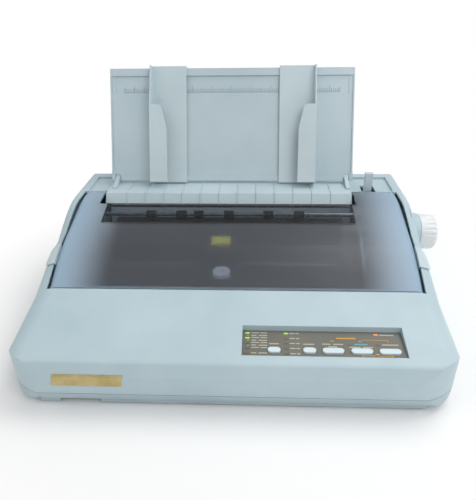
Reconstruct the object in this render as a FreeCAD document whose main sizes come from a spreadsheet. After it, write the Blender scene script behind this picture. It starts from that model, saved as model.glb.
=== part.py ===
import FreeCAD, Part
import math
import os
import Sketcher

# A desktop dot matrix printer for single sheets and fan-fold paper, in millimetres.
# X runs to the operator's right, Y to the back and Z up. The sizes are measured from the middle
# of the casing; at the end every piece is placed so that the origin lies under the middle of the
# whole machine, at the level of the table.

CASING = {
    "casing_half_width": 221.5,
    "casing_belt_z": 32.0,
    "casing_bottom_z": 8.0,
    "casing_side_tuck": 21.5,
    "casing_wall": 2.6,
    "casing_seam_z": 21.5,
    "casing_seam_gap": 0.5,
    "casing_front_y": -166.5,
    "casing_front_tuck": 8.5,
    "casing_front_swell_top_z": 44.0,
    "casing_rear_y": 166.5,
    "casing_rear_slope_z": 96.0,
    "casing_rear_lean": 13.0,
    "casing_front_corner_radius": 50.0,
    "casing_rear_corner_radius": 20.0,
    "deck_front_inset": 5.5,
    "deck_front_z": 58.2,
    "deck_edge_radius": 5.0,
    "front_shoulder_radius": 24.0,
    "front_shoulder_ease": 1.5,
    "middle_shoulder_radius": 27.0,
    "rear_shoulder_radius": 6.0,
    "rear_deck_z": 124.0,
    "rear_recess_depth": 2.6,
    "rear_recess_side_inset": 24.5,
    "rear_recess_front_gap": 2.3,
    "rear_recess_rear_inset": 25.5,
    "lip_thick": 1.5,
    "lip_height": 5.0,
    "plinth_z": 2.0,
    "plinth_front_inset": 10.5,
    "plinth_rear_inset": 16.5,
    "plinth_side_inset": 33.5,
    "plinth_notch_inset": 20.4,
    "plinth_notch_width": 40.1,
    "plinth_notch_depth": 4.0,
    "plinth_notch_height": 4.0,
    "foot_radius": 9.0,
    "foot_inset_x": 22.0,
    "foot_inset_y": 24.0,
    "foot_seat_depth": 1.5,
    "case_screw_radius": 1.9,
    "case_screw_head_radius": 3.6,
    "case_screw_head_height": 2.2,
    "case_screw_length": 14.0,
    "case_screw_drive_radius": 1.3,
    "case_screw_inset_x": 44.0,
    "case_screw_inset_y": 13.2,
    "case_boss_radius": 5.0,
    "knob_boss_root": 14.5,
    "knob_boss_inset": 1.5,
    "knob_boss_base_radius": 31.0,
    "knob_boss_flare_inset": 11.5,
    "knob_boss_flare_radius": 26.8,
    "knob_boss_neck_inset": 8.0,
    "knob_boss_neck_radius": 23.6,
    "knob_boss_end_radius": 22.0,
    "knob_hole_radius": 6.5,
    "vent_slot_width": 3.0,
    "vent_slot_height": 14.0,
    "vent_slot_pitch": 8.0,
}

COVER = {
    "cover_front_y": -69.4,
    "cover_front_z": 79.0,
    "cover_rear_y": 86.0,
    "cover_rear_z": 125.5,
    "cover_side_inset": 22.5,
    "cover_gap": 1.5,
    "cover_rear_gap": 2.7,
    "cover_wall": 2.2,
    "cover_side_radius": 9.0,
    "cover_skirt": 12.0,
    "cover_ear_gap": 2.5,
    "cover_lip_gap": 16.8,
    "cover_ledge_depth": 7.0,
    "cover_ledge_thick": 2.4,
    "seat_gap": 0.3,
    "window_left_inset": 10.5,
    "window_right_inset": 5.5,
    "window_front_y": 18.5,
    "grip_y": -29.0,
    "grip_drop": 1.0,
    "grip_radius": 14.5,
    "grip_wall": 1.4,
    "grip_clearance": 0.5,
    "grip_web": 1.0,
    "hinge_inset": 1.6,
    "hinge_drop": 3.6,
    "hinge_pin_radius": 1.5,
    "hinge_lug_inset": 12.0,
    "hinge_lug_width": 5.0,
    "hinge_knuckle_width": 3.2,
    "hinge_knuckle_radius": 2.9,
    "hinge_side_gap": 0.4,
    "running_clearance": 0.05,
}

REAR = {
    "rear_cover_left_reach": 2.6,
    "rear_cover_right_inset": 2.0,
    "rear_cover_lip_y": 69.3,
    "rear_cover_lip_z": 115.5,
    "rear_cover_fold_y": 77.0,
    "rear_cover_top_z": 126.6,
    "rear_cover_back_y": 118.0,
    "rear_cover_wall": 2.2,
    "rear_cover_rib_pitch": 23.43,
    "rear_cover_rib_inset": 27.5,
    "rear_cover_rib_width": 1.2,
    "rear_cover_rib_height": 0.8,
    "rear_cover_skirt_z": 119.0,
    "rear_cover_tooth": 2.6,
    "guide_lug_left_inset": 7.5,
    "guide_lug_right_inset": 2.5,
    "guide_lug_width": 5.0,
    "guide_lug_depth": 8.0,
    "guide_lug_front_y": 91.0,
    "guide_lug_front_rise": 1.6,
    "guide_pivot_inset": 3.8,
    "guide_pivot_rise": 4.6,
    "guide_pin_radius": 1.8,
    "guide_lean_deg": 23.3,
    "guide_left_overhang": 0.5,
    "guide_right_overhang": 5.5,
    "guide_height": 144.4,
    "guide_foot_drop": 2.2,
    "guide_thick": 2.4,
    "guide_rim_width": 7.0,
    "guide_rim_height": 1.2,
    "guide_ruler_top": 9.5,
    "guide_ruler_height": 23.0,
    "guide_ruler_depth": 0.5,
    "guide_ear_width": 4.6,
    "guide_ear_gap": 1.4,
    "guide_ear_height": 6.0,
    "edge_guide_gap": 0.35,
    "edge_guide_thick": 1.8,
    "edge_guide_hook": 9.0,
    "edge_left_wall_x": -115.5,
    "edge_left_end_x": -69.0,
    "edge_right_wall_x": 98.0,
    "edge_right_end_x": 51.5,
    "edge_wall_height": 16.0,
    "edge_wall_top_height": 8.0,
    "edge_flap_thick": 1.6,
    "edge_flap_top_height": 94.0,
    "edge_flap_shoulder_height": 64.0,
    "edge_flap_top_width": 15.3,
    "edge_flap_width": 22.4,
    "edge_flap_low_width": 23.1,
}

PANEL = {
    "panel_side_inset": 56.5,
    "panel_width": 153.6,
    "panel_front_inset": 15.5,
    "panel_depth": 34.5,
    "panel_floor_z": 57.2,
    "panel_plate_thick": 0.8,
    "panel_tray_thick": 2.0,
    "panel_tray_wall": 2.2,
    "panel_slope_rise": 4.3,
    "button_row_inset": 9.0,
    "button_depth": 7.2,
    "button_short_width": 12.2,
    "button_long_width": 20.2,
    "button_stand": 1.4,
    "button_gap": 0.35,
    "button_flange": 1.0,
    "button_flange_thick": 1.2,
    "button_font_inset": 30.4,
    "button_pitch_inset": 63.7,
    "button_set_inset": 85.8,
    "button_feed_inset": 112.5,
    "button_online_inset": 138.7,
    "led_width": 4.0,
    "led_depth": 1.9,
    "led_proud": 0.25,
    "led_fit": 0.05,
    "led_column_1_inset": 4.9,
    "led_column_2_inset": 42.2,
    "led_first_inset": 3.7,
    "led_pitch_y": 6.4,
    "led_power_inset": 128.9,
    "led_quiet_inset": 102.0,
    "led_online_inset": 128.8,
    "led_small_inset": 16.85,
    "led_small_width": 3.0,
    "panel_board_drop": 6.7,
    "board_thick": 1.6,
    "name_plate_inset": 53.5,
    "name_plate_width": 70.0,
    "name_plate_low_z": 33.5,
    "name_plate_high_z": 46.5,
    "name_plate_slant": 3.0,
    "name_plate_thick": 0.5,
}

CHASSIS = {
    "chassis_left_margin": 18.6,
    "chassis_right_margin": 21.0,
    "chassis_front_y": -32.0,
    "chassis_rear_y": 130.0,
    "chassis_z": 24.0,
    "chassis_thick": 1.6,
    "chassis_post_radius": 6.0,
    "chassis_post_inset": 10.0,
    "gear_bay_width": 55.1,
    "lever_bay_width": 77.5,
    "plate_thick": 1.8,
    "plate_front_y": -24.0,
    "plate_front_z": 80.0,
    "plate_mid_y": 12.0,
    "plate_mid_z": 98.0,
    "plate_top_y": 40.0,
    "plate_top_z": 104.5,
    "plate_rear_y": 116.0,
    "plate_foot_depth": 9.0,
    "carriage_shaft_y": 5.0,
    "carriage_shaft_z": 62.0,
    "carriage_shaft_radius": 5.0,
    "rail_front_y": -19.0,
    "rail_depth": 6.0,
    "rail_low_z": 50.0,
    "rail_thick": 3.0,
    "board_side_inset": 8.0,
    "board_width": 250.0,
    "board_front_inset": 24.0,
    "board_depth": 90.0,
    "board_low_z": 14.0,
    "standoff_radius": 3.5,
    "standoff_inset": 7.0,
    "chip_height": 4.0,
    "chip_width": 16.0,
    "chip_length": 42.0,
    "chip_pitch": 30.0,
    "heat_sink_height": 22.0,
    "heat_sink_width": 60.0,
    "heat_sink_depth": 18.0,
    "heat_sink_fin": 2.0,
    "transformer_inset": 10.0,
    "transformer_boss_gap": 1.0,
    "transformer_width": 66.0,
    "transformer_depth": 56.0,
    "transformer_core_height": 18.0,
    "transformer_coil_height": 36.0,
    "transformer_coil_margin": 11.0,
}

FEED = {
    "platen_y": 50.5,
    "platen_z": 88.0,
    "platen_radius": 16.0,
    "platen_left_gap": 16.4,
    "platen_right_gap": 16.0,
    "platen_shaft_radius": 4.0,
    "platen_shaft_overhang": 4.0,
    "bush_radius": 7.0,
    "bush_flange_radius": 9.0,
    "bush_flange_thick": 2.0,
    "knob_radius": 21.2,
    "knob_gap": 0.6,
    "knob_length": 20.7,
    "knob_flute_radius": 3.0,
    "knob_flute_depth": 1.3,
    "knob_edge_radius": 6.0,
    "gear_module": 1.0,
    "gear_plate_gap": 7.8,
    "gear_width": 6.0,
    "gear_backlash": 0.24,
    "feed_line_deg": -42.0,
    "gear_pin_radius": 3.0,
    "feed_motor_radius": 18.0,
    "feed_motor_length": 24.0,
    "motor_shaft_radius": 2.5,
    "motor_boss_radius": 9.0,
    "bail_y": 50.5,
    "bail_z": 109.1,
    "bail_shaft_radius": 2.4,
    "bail_roller_radius": 4.7,
    "bail_roller_width": 12.0,
    "bail_arm_thick": 1.8,
    "bail_arm_gap": 1.6,
    "bail_arm_half_width": 4.2,
    "bail_pivot_y": 66.0,
    "bail_pivot_z": 76.0,
    "bail_pin_radius": 2.6,
    "bail_roller_1_x": -106.8,
    "bail_roller_2_x": -69.5,
    "bail_roller_3_x": -47.9,
    "bail_roller_4_x": -10.7,
    "bail_roller_5_x": 37.8,
    "bail_roller_6_x": 75.5,
    "chute_gap": 1.8,
    "chute_thick": 1.6,
    "chute_top_y": 73.4,
    "chute_top_z": 107.5,
    "chute_rib_pitch": 23.43,
    "tractor_left_x": -110.0,
    "tractor_right_x": 88.0,
    "tractor_width": 14.0,
    "tractor_drop": 12.0,
    "tractor_rise": 23.25,
    "tractor_corner_radius": 7.5,
    "tractor_length": 26.0,
    "tractor_rod_up": 15.0,
    "tractor_rod_radius": 3.0,
    "tractor_shaft_radius": 4.0,
    "tractor_shaft_overhang": 6.2,
    "tractor_pin_radius": 1.6,
    "tractor_pin_height": 1.8,
    "tractor_pin_pitch": 12.7,
    "lever_plate_gap": 13.8,
    "lever_width": 9.6,
    "lever_pivot_y": 98.0,
    "lever_pivot_z": 92.0,
    "lever_front_y": 91.0,
    "lever_thick": 5.6,
    "lever_top_z": 148.2,
    "lever_hub_radius": 6.0,
    "lever_pin_radius": 3.0,
    "lever_slot_left_gap": 1.0,
    "lever_slot_right_gap": 6.8,
    "lever_slot_front_gap": 3.0,
    "lever_slot_rear_gap": 19.4,
}

PRINT = {
    "carriage_x": -18.0,
    "carriage_half_width": 24.0,
    "carriage_front_y": -11.0,
    "carriage_rear_y": 20.0,
    "carriage_low_z": 55.0,
    "carriage_top_z": 71.0,
    "slider_gap": 0.3,
    "clamp_width": 12.0,
    "clamp_wall": 2.0,
    "clamp_gap": 0.4,
    "head_half_width": 15.0,
    "head_front_y": -8.0,
    "head_rear_y": 20.0,
    "head_top_z": 92.0,
    "head_fin_pitch": 4.0,
    "head_fin_gap": 1.8,
    "head_fin_depth": 4.0,
    "nose_half_width": 6.0,
    "nose_tip_y": 30.2,
    "nose_low_z": 82.0,
    "nose_high_z": 94.0,
    "cap_half_width": 11.0,
    "cap_front_y": 0.0,
    "cap_rear_y": 17.0,
    "cap_height": 4.0,
    "ribbon_left_gap": 11.4,
    "ribbon_right_gap": 11.0,
    "ribbon_front_y": -60.0,
    "ribbon_rear_y": -14.0,
    "ribbon_low_z": 61.0,
    "ribbon_top_z": 76.0,
    "ribbon_arm_width": 10.0,
    "ribbon_arm_tip_y": 33.0,
    "ribbon_arm_low_z": 80.0,
    "ribbon_arm_top_z": 95.0,
    "ribbon_arm_root": 12.0,
    "ribbon_strip_y": 31.2,
    "ribbon_strip_thick": 0.4,
    "ribbon_strip_low_z": 82.0,
    "ribbon_strip_high_z": 94.5,
    "ribbon_knob_x": -15.0,
    "ribbon_knob_y": -37.0,
    "ribbon_knob_radius": 10.0,
    "ribbon_knob_height": 5.0,
    "ribbon_knob_pin_radius": 3.0,
    "ribbon_blade_half_length": 8.0,
    "ribbon_blade_half_thick": 1.0,
    "ribbon_blade_proud": 2.0,
    "belt_y": -2.0,
    "belt_low_z": 43.0,
    "belt_width": 6.0,
    "belt_thick": 1.2,
    "pulley_radius": 7.0,
    "pulley_left_gap": 20.4,
    "pulley_right_gap": 20.0,
    "pulley_flange": 2.0,
    "pulley_flange_thick": 1.0,
    "carriage_motor_radius": 17.0,
    "carriage_motor_height": 14.0,
    "idler_pin_radius": 2.5,
    "idler_foot_half": 9.0,
}

PORTS = {
    "inlet_inset": 71.5,
    "inlet_z": 42.0,
    "inlet_half_width": 14.5,
    "inlet_half_height": 10.5,
    "inlet_wall": 2.4,
    "inlet_depth": 18.0,
    "inlet_flange": 3.5,
    "inlet_flange_thick": 1.6,
    "inlet_blade_width": 4.0,
    "inlet_blade_thick": 1.8,
    "inlet_blade_length": 12.0,
    "inlet_blade_pitch": 7.0,
    "switch_spacing": 42.0,
    "switch_half_width": 6.5,
    "switch_half_height": 10.0,
    "switch_frame": 2.4,
    "switch_depth": 14.0,
    "switch_gap": 0.35,
    "switch_pin_radius": 1.5,
    "switch_proud": 2.2,
    "port_inset": 161.5,
    "port_z": 44.0,
    "port_half_width": 27.0,
    "port_half_height": 5.5,
    "port_shell": 1.2,
    "port_flange": 8.0,
    "port_flange_thick": 1.6,
    "port_depth": 12.0,
    "port_tongue_half_height": 1.6,
    "port_tongue_margin": 4.0,
    "overrun": 6.0,
}

# Counts and shares, which don't change when the machine is made larger or smaller.
KNOB_FLUTES = 22
RIB_COUNT = 12
PLATEN_TEETH = 48
IDLER_TEETH = 28
PINION_TEETH = 16
TRACTOR_TEETH = 32
TRACTOR_PITCHES_ROUND_IDLER = 7
CHIP_COUNT = 5
VENT_COUNT = 14
HEAD_FINS = 5
LED_ROWS = 5
STATIONS = 14
HEAT_SINK_FINS = 6

# How far the casing's sides lean in, as a share of the lean down to the bottom edge.
SIDE_LEAN_SHARE = 1.25
# Middle of the curve under the front swell, as shares of its run back and of its rise.
FRONT_BULGE_SHARES = (0.2, 0.55)
# How the lip of the rear cover is cut off, as shares of its wall.
LIP_CUT_SHARES = (0.9, 0.5)
RIB_SLANT_SHARE = 0.6
FLAP_TOP_SHARE = 0.6
# How far in front of the platen's axis the chute begins, as a share of its inner radius.
CHUTE_FRONT_SHARE = 0.62
# Outline of the rocker, as shares of how far it stands proud and of its half height.
ROCKER_SHARES = ((-1.6, -0.86), (1.5, -0.86), (0.3, 0.0), (0.9, 0.86), (-1.6, 0.86))
# How near a face an upright edge must lie to count as one of its corners.
CORNER_REACH = 0.01
# Depth of the knob's flutes at its foot, as a share of their depth at the outer end.
FLUTE_ROOT_SHARE = -0.12
# Pressure angle of every gear in degrees, and the depth of its roots as a share of the module.
PRESSURE_ANGLE = 20
ROOT_DEPTH_SHARE = 1.25

# Height of the cover's top along its depth, both as shares of its run from front to rear.
COVER_PROFILE_SHARES = ((0.0, 0.0), (0.146, 0.255), (0.287, 0.479), (0.471, 0.660),
                        (0.669, 0.840), (0.828, 0.968), (1.0, 1.0))

doc = FreeCAD.newDocument("dot_matrix_printer")
sheet = doc.addObject("Spreadsheet::Sheet", "sizes")


class Size:
    """A length with the formula that ties it to the sheet."""

    def __init__(self, value, formula):
        self.value = float(value)
        self.formula = formula

    def __float__(self):
        return self.value

    def __add__(self, other):
        other = as_size(other)
        return Size(self.value + other.value, f"({self.formula} + {other.formula})")

    def __radd__(self, other):
        return as_size(other) + self

    def __sub__(self, other):
        other = as_size(other)
        return Size(self.value - other.value, f"({self.formula} - {other.formula})")

    def __rsub__(self, other):
        return as_size(other) - self

    def __mul__(self, other):
        other = as_size(other)
        return Size(self.value * other.value, f"({self.formula} * {other.formula})")

    def __rmul__(self, other):
        return as_size(other) * self

    def __truediv__(self, other):
        other = as_size(other)
        return Size(self.value / other.value, f"({self.formula} / {other.formula})")

    def __neg__(self):
        return Size(-self.value, f"(-1 * {self.formula})")


def as_size(number):
    """Turn a plain number into a Size."""
    if isinstance(number, Size):
        return number
    return Size(number, f"({number!r})")


class Table:
    """The named sizes of the sheet, read as attributes."""


S = Table()
ZERO = as_size(0)


def fill_sheet():
    """Write every named size to the sheet, one cell each."""
    row = 0
    for group in (CASING, COVER, REAR, PANEL, CHASSIS, FEED, PRINT, PORTS):
        for name, value in group.items():
            row += 1
            sheet.set(f"A{row}", name)
            sheet.set(f"B{row}", repr(value))
            sheet.setAlias(f"B{row}", name)
    doc.recompute()
    for group in (CASING, COVER, REAR, PANEL, CHASSIS, FEED, PRINT, PORTS):
        for name in group:
            setattr(S, name, Size(sheet.get(name), f"sizes.{name}"))


fill_sheet()

# Places across the machine, worked out from the casing and its insets

SIDE_X = S.casing_half_width
COVER_HALF = SIDE_X - S.cover_side_inset
RECESS_HALF = SIDE_X - S.rear_recess_side_inset
PLINTH_HALF = SIDE_X - S.plinth_side_inset
BOSS_BASE_X = SIDE_X - S.knob_boss_root
BOSS_END_X = SIDE_X - S.knob_boss_inset
KNOB_START_X = BOSS_END_X + S.knob_gap
KNOB_END_X = KNOB_START_X + S.knob_length
PLATE_LEFT_X = S.gear_bay_width - SIDE_X
PLATE_RIGHT_X = SIDE_X - S.lever_bay_width
REAR_LEFT_X = PLATE_LEFT_X - S.rear_cover_left_reach
REAR_RIGHT_X = PLATE_RIGHT_X - S.rear_cover_right_inset
EAR_LEFT_X = REAR_LEFT_X - S.cover_ear_gap
EAR_RIGHT_X = REAR_RIGHT_X + S.cover_ear_gap
LUG_LEFT_X = REAR_LEFT_X + S.guide_lug_left_inset
LUG_RIGHT_X = REAR_RIGHT_X - S.guide_lug_right_inset
HINGE_LUG_X = COVER_HALF - S.hinge_lug_inset
CHASSIS_LEFT_X = PLATE_LEFT_X - S.chassis_left_margin
CHASSIS_RIGHT_X = PLATE_RIGHT_X + S.chassis_right_margin
GEAR_RIGHT_X = PLATE_LEFT_X - S.plate_thick - S.gear_plate_gap
GEAR_LEFT_X = GEAR_RIGHT_X - S.gear_width
PLATEN_LEFT_X = PLATE_LEFT_X + S.platen_left_gap
PLATEN_RIGHT_X = PLATE_RIGHT_X - S.platen_right_gap
LEVER_LEFT_X = PLATE_RIGHT_X + S.plate_thick + S.lever_plate_gap
LEVER_RIGHT_X = LEVER_LEFT_X + S.lever_width
RIBBON_LEFT_X = PLATE_LEFT_X + S.ribbon_left_gap
RIBBON_RIGHT_X = PLATE_RIGHT_X - S.ribbon_right_gap
PULLEY_LEFT_X = PLATE_LEFT_X + S.pulley_left_gap
PULLEY_RIGHT_X = PLATE_RIGHT_X - S.pulley_right_gap
PANEL_RIGHT_X = SIDE_X - S.panel_side_inset
PANEL_LEFT_X = PANEL_RIGHT_X - S.panel_width
BOARD_RIGHT_X = PLINTH_HALF - S.board_side_inset
BOARD_LEFT_X = BOARD_RIGHT_X - S.board_width
INLET_X = SIDE_X - S.inlet_inset
SWITCH_X = INLET_X - S.switch_spacing
PORT_X = S.port_inset - SIDE_X

# Places from front to back and in height

DECK_FRONT_Y = S.casing_front_y + S.deck_front_inset
PLINTH_FRONT_Y = S.casing_front_y + S.plinth_front_inset
PLINTH_REAR_Y = S.casing_rear_y - S.plinth_rear_inset
RECESS_FRONT_Y = S.cover_rear_y + S.cover_rear_gap + S.rear_recess_front_gap
RECESS_REAR_Y = S.casing_rear_y - S.rear_recess_rear_inset
COVER_MIDDLE_REAR_Y = S.rear_cover_lip_y - S.cover_lip_gap
PANEL_FRONT_Y = S.casing_front_y + S.panel_front_inset
PANEL_REAR_Y = PANEL_FRONT_Y + S.panel_depth
BUTTON_ROW_Y = PANEL_FRONT_Y + S.button_row_inset
BOARD_FRONT_Y = PLINTH_FRONT_Y + S.board_front_inset
BOARD_REAR_Y = BOARD_FRONT_Y + S.board_depth
PANEL_BOARD_Z = S.panel_floor_z - S.panel_board_drop
FLOOR_Z = S.plinth_z + S.casing_wall
CHASSIS_TOP = S.chassis_z + S.chassis_thick

# Bound primitives, booleans and padded outlines

subparts = []


def block(x_span, y_span, z_span, name="block"):
    """A box between two values along each axis."""
    box = doc.addObject("Part::Box", name)
    for side, axis, (low, high) in (("Length", "x", x_span), ("Width", "y", y_span), ("Height", "z", z_span)):
        low, high = as_size(low), as_size(high)
        box.setExpression(side, (high - low).formula)
        box.setExpression(f"Placement.Base.{axis}", low.formula)
    return box


TURNS = {
    "x": FreeCAD.Rotation(FreeCAD.Vector(0, 1, 0), 90),
    "y": FreeCAD.Rotation(FreeCAD.Vector(1, 0, 0), -90),
    "z": FreeCAD.Rotation(),
}


def rod(axis, span, centre, radius, name="rod"):
    """A cylinder along one axis, with its centre line given across the two others in order."""
    cylinder = doc.addObject("Part::Cylinder", name)
    low, high = as_size(span[0]), as_size(span[1])
    across = [letter for letter in "xyz" if letter != axis]
    cylinder.Placement = FreeCAD.Placement(FreeCAD.Vector(), TURNS[axis])
    cylinder.setExpression("Radius", as_size(radius).formula)
    cylinder.setExpression("Height", (high - low).formula)
    cylinder.setExpression(f"Placement.Base.{axis}", low.formula)
    for letter, place in zip(across, centre):
        cylinder.setExpression(f"Placement.Base.{letter}", as_size(place).formula)
    return cylinder


def cone(span, centre, radii, name="cone"):
    """A cone along X from the low end to the high end."""
    shape = doc.addObject("Part::Cone", name)
    low, high = as_size(span[0]), as_size(span[1])
    shape.Placement = FreeCAD.Placement(FreeCAD.Vector(), TURNS["x"])
    shape.setExpression("Radius1", as_size(radii[0]).formula)
    shape.setExpression("Radius2", as_size(radii[1]).formula)
    shape.setExpression("Height", (high - low).formula)
    shape.setExpression("Placement.Base.x", low.formula)
    shape.setExpression("Placement.Base.y", as_size(centre[0]).formula)
    shape.setExpression("Placement.Base.z", as_size(centre[1]).formula)
    return shape


def fuse(pieces, name="fused"):
    """Join pieces into one."""
    joined = doc.addObject("Part::MultiFuse", name)
    joined.Shapes = list(pieces)
    joined.Refine = True
    return joined


def group(pieces, name="group"):
    """Keep pieces together as separate solids."""
    together = doc.addObject("Part::Compound", name)
    together.Links = list(pieces)
    return together


def cut(base, tools, name="cut"):
    """Take one or more tools from a base."""
    tools = list(tools)
    result = doc.addObject("Part::Cut", name)
    result.Base = base
    result.Tool = tools[0] if len(tools) == 1 else group(tools, "tools")
    result.Refine = True
    return result


def common(first, second, name="common"):
    """What two pieces share."""
    result = doc.addObject("Part::Common", name)
    result.Base = first
    result.Tool = second
    result.Refine = True
    return result


def feature(shape, name="shape"):
    """A shape that is worked out in code from the sheet's sizes."""
    holder = doc.addObject("Part::Feature", name)
    holder.Shape = shape
    return holder


PLANES = {"x": "YZ_Plane", "y": "XZ_Plane", "z": "XY_Plane"}


def outline_body(axis, span, points, name="outline"):
    """A body padded along an axis from a closed outline of corner points across it."""
    low, high = as_size(span[0]), as_size(span[1])
    body = doc.addObject("PartDesign::Body", name)
    sketch = body.newObject("Sketcher::SketchObject", name + "_outline")
    plane = next(item for item in body.Origin.OriginFeatures if item.Role == PLANES[axis])
    sketch.AttachmentSupport = [(plane, "")]
    sketch.MapMode = "FlatFace"
    start = -high if axis == "y" else low
    sketch.setExpression("AttachmentOffset.Base.z", start.formula)
    corners = [(as_size(across), as_size(up)) for across, up in points]
    places = [FreeCAD.Vector(float(across), float(up), 0) for across, up in corners]
    count = len(places)
    for index in range(count):
        sketch.addGeometry(Part.LineSegment(places[index], places[(index + 1) % count]), False)
    for index in range(count):
        sketch.addConstraint(Sketcher.Constraint("Coincident", index, 2, (index + 1) % count, 1))
    for index, (across, up) in enumerate(corners):
        for kind, place in (("DistanceX", across), ("DistanceY", up)):
            number = sketch.addConstraint(Sketcher.Constraint(kind, -1, 1, index, 1, float(place)))
            sketch.setExpression(f"Constraints[{number}]", place.formula)
    pad = body.newObject("PartDesign::Pad", name + "_pad")
    pad.Profile = sketch
    pad.setExpression("Length", (high - low).formula)
    body.Tip = pad
    return body


def round_edges(body, radius, wanted, name="rounding"):
    """Fillet the edges of a body that the test picks."""
    doc.recompute()
    base = body.Tip
    names = [f"Edge{number}" for number, edge in enumerate(base.Shape.Edges, 1) if wanted(edge)]
    fillet = body.newObject("PartDesign::Fillet", name)
    fillet.Base = (base, names)
    fillet.setExpression("Radius", as_size(radius).formula)
    body.Tip = fillet
    return body


def runs_along(edge, axis):
    """Is this a straight edge along the given axis?"""
    if edge.Curve.TypeId != "Part::GeomLine":
        return False
    direction = edge.Curve.Direction
    return abs(abs(getattr(direction, axis)) - 1) < 1e-6


def part(label, piece):
    """Name a finished sub-part; a bare primitive gets a holder so that it can be placed."""
    if piece.TypeId in ("Part::Box", "Part::Cylinder", "Part::Cone"):
        piece = group([piece])
    piece.Label = label
    subparts.append(piece)
    return piece


# Casing forms: sections across the machine, lofted from front to back

def cover_line():
    """The curve of the cover's top seen from the side, as points from front to rear."""
    run = float(S.cover_rear_y) - float(S.cover_front_y)
    rise = float(S.cover_rear_z) - float(S.cover_front_z)
    curve = Part.BSplineCurve()
    curve.interpolate([FreeCAD.Vector(0, float(S.cover_front_y) + run * along,
                                      float(S.cover_front_z) + rise * up)
                       for along, up in COVER_PROFILE_SHARES])
    first, last = curve.FirstParameter, curve.LastParameter
    return [curve.value(first + (last - first) * index / STATIONS) for index in range(STATIONS + 1)]


def casing_section(y, top, shoulder, inset):
    """Closed wire of the casing across X at one station, drawn in by the inset."""
    lean = float(S.casing_side_tuck) / float(S.casing_half_width) * SIDE_LEAN_SHARE
    half = float(S.casing_half_width) - inset
    bottom = float(S.casing_bottom_z) + inset
    belt = float(S.casing_belt_z)
    corner_width = float(S.casing_side_tuck)
    corner_height = belt - bottom
    top = top - inset
    radius = shoulder - inset
    top_corner = half - (top - belt) * lean
    side_top_x = half - (top - radius - belt) * lean
    diagonal = math.sqrt(0.5)

    def at(x, z):
        return FreeCAD.Vector(x, y, z)

    right_low = at(half - corner_width, bottom)
    right_low_mid = at(half - corner_width + corner_width * diagonal, belt - corner_height * diagonal)
    right_belt = at(half, belt)
    right_side_top = at(side_top_x, top - radius)
    round_mid_x = top_corner - radius + radius * diagonal + (side_top_x - top_corner) / 3
    right_round_mid = at(round_mid_x, top - radius + radius * diagonal)
    right_top = at(top_corner - radius, top)

    def mirrored(point):
        return FreeCAD.Vector(-point.x, point.y, point.z)

    edges = [
        Part.LineSegment(mirrored(right_low), right_low).toShape(),
        Part.Arc(right_low, right_low_mid, right_belt).toShape(),
        Part.LineSegment(right_belt, right_side_top).toShape(),
        Part.Arc(right_side_top, right_round_mid, right_top).toShape(),
        Part.LineSegment(right_top, mirrored(right_top)).toShape(),
        Part.Arc(mirrored(right_top), mirrored(right_round_mid), mirrored(right_side_top)).toShape(),
        Part.LineSegment(mirrored(right_side_top), mirrored(right_belt)).toShape(),
        Part.Arc(mirrored(right_belt), mirrored(right_low_mid), mirrored(right_low)).toShape(),
    ]
    return Part.Wire(edges)


def deck_slope():
    """How fast the front deck rises towards the cover."""
    return (float(S.cover_front_z) - float(S.deck_front_z)) / (float(S.cover_front_y) - float(DECK_FRONT_Y))


def casing_stations():
    """Places along Y with the height of the top and the radius of the shoulder at each."""
    front_y, front_z = float(DECK_FRONT_Y), float(S.deck_front_z)
    line = cover_line()
    margin = float(S.overrun)
    foremost = float(S.casing_front_y) - margin
    middle_y = line[STATIONS // 2].y
    first_radius = float(S.front_shoulder_radius) - float(S.front_shoulder_ease)
    stations = [(foremost, front_z + (foremost - front_y) * deck_slope(), first_radius),
                (line[0].y, line[0].z, float(S.front_shoulder_radius))]
    for point in line[1:]:
        if point.y <= middle_y:
            share = (point.y - line[0].y) / (middle_y - line[0].y)
            radius = (1 - share) * float(S.front_shoulder_radius) + share * float(S.middle_shoulder_radius)
        else:
            share = (point.y - middle_y) / (line[-1].y - middle_y)
            share = 1 - (1 - share) ** 2
            radius = (1 - share) * float(S.middle_shoulder_radius) + share * float(S.rear_shoulder_radius)
        stations.append((point.y, min(point.z, float(S.rear_deck_z)), radius))
    stations.append((float(S.casing_rear_y) + margin, float(S.rear_deck_z), float(S.rear_shoulder_radius)))
    return stations


def face_of(points):
    """A flat face inside straight runs through the points."""
    return Part.Face(Part.makePolygon(list(points) + [points[0]]))


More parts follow.
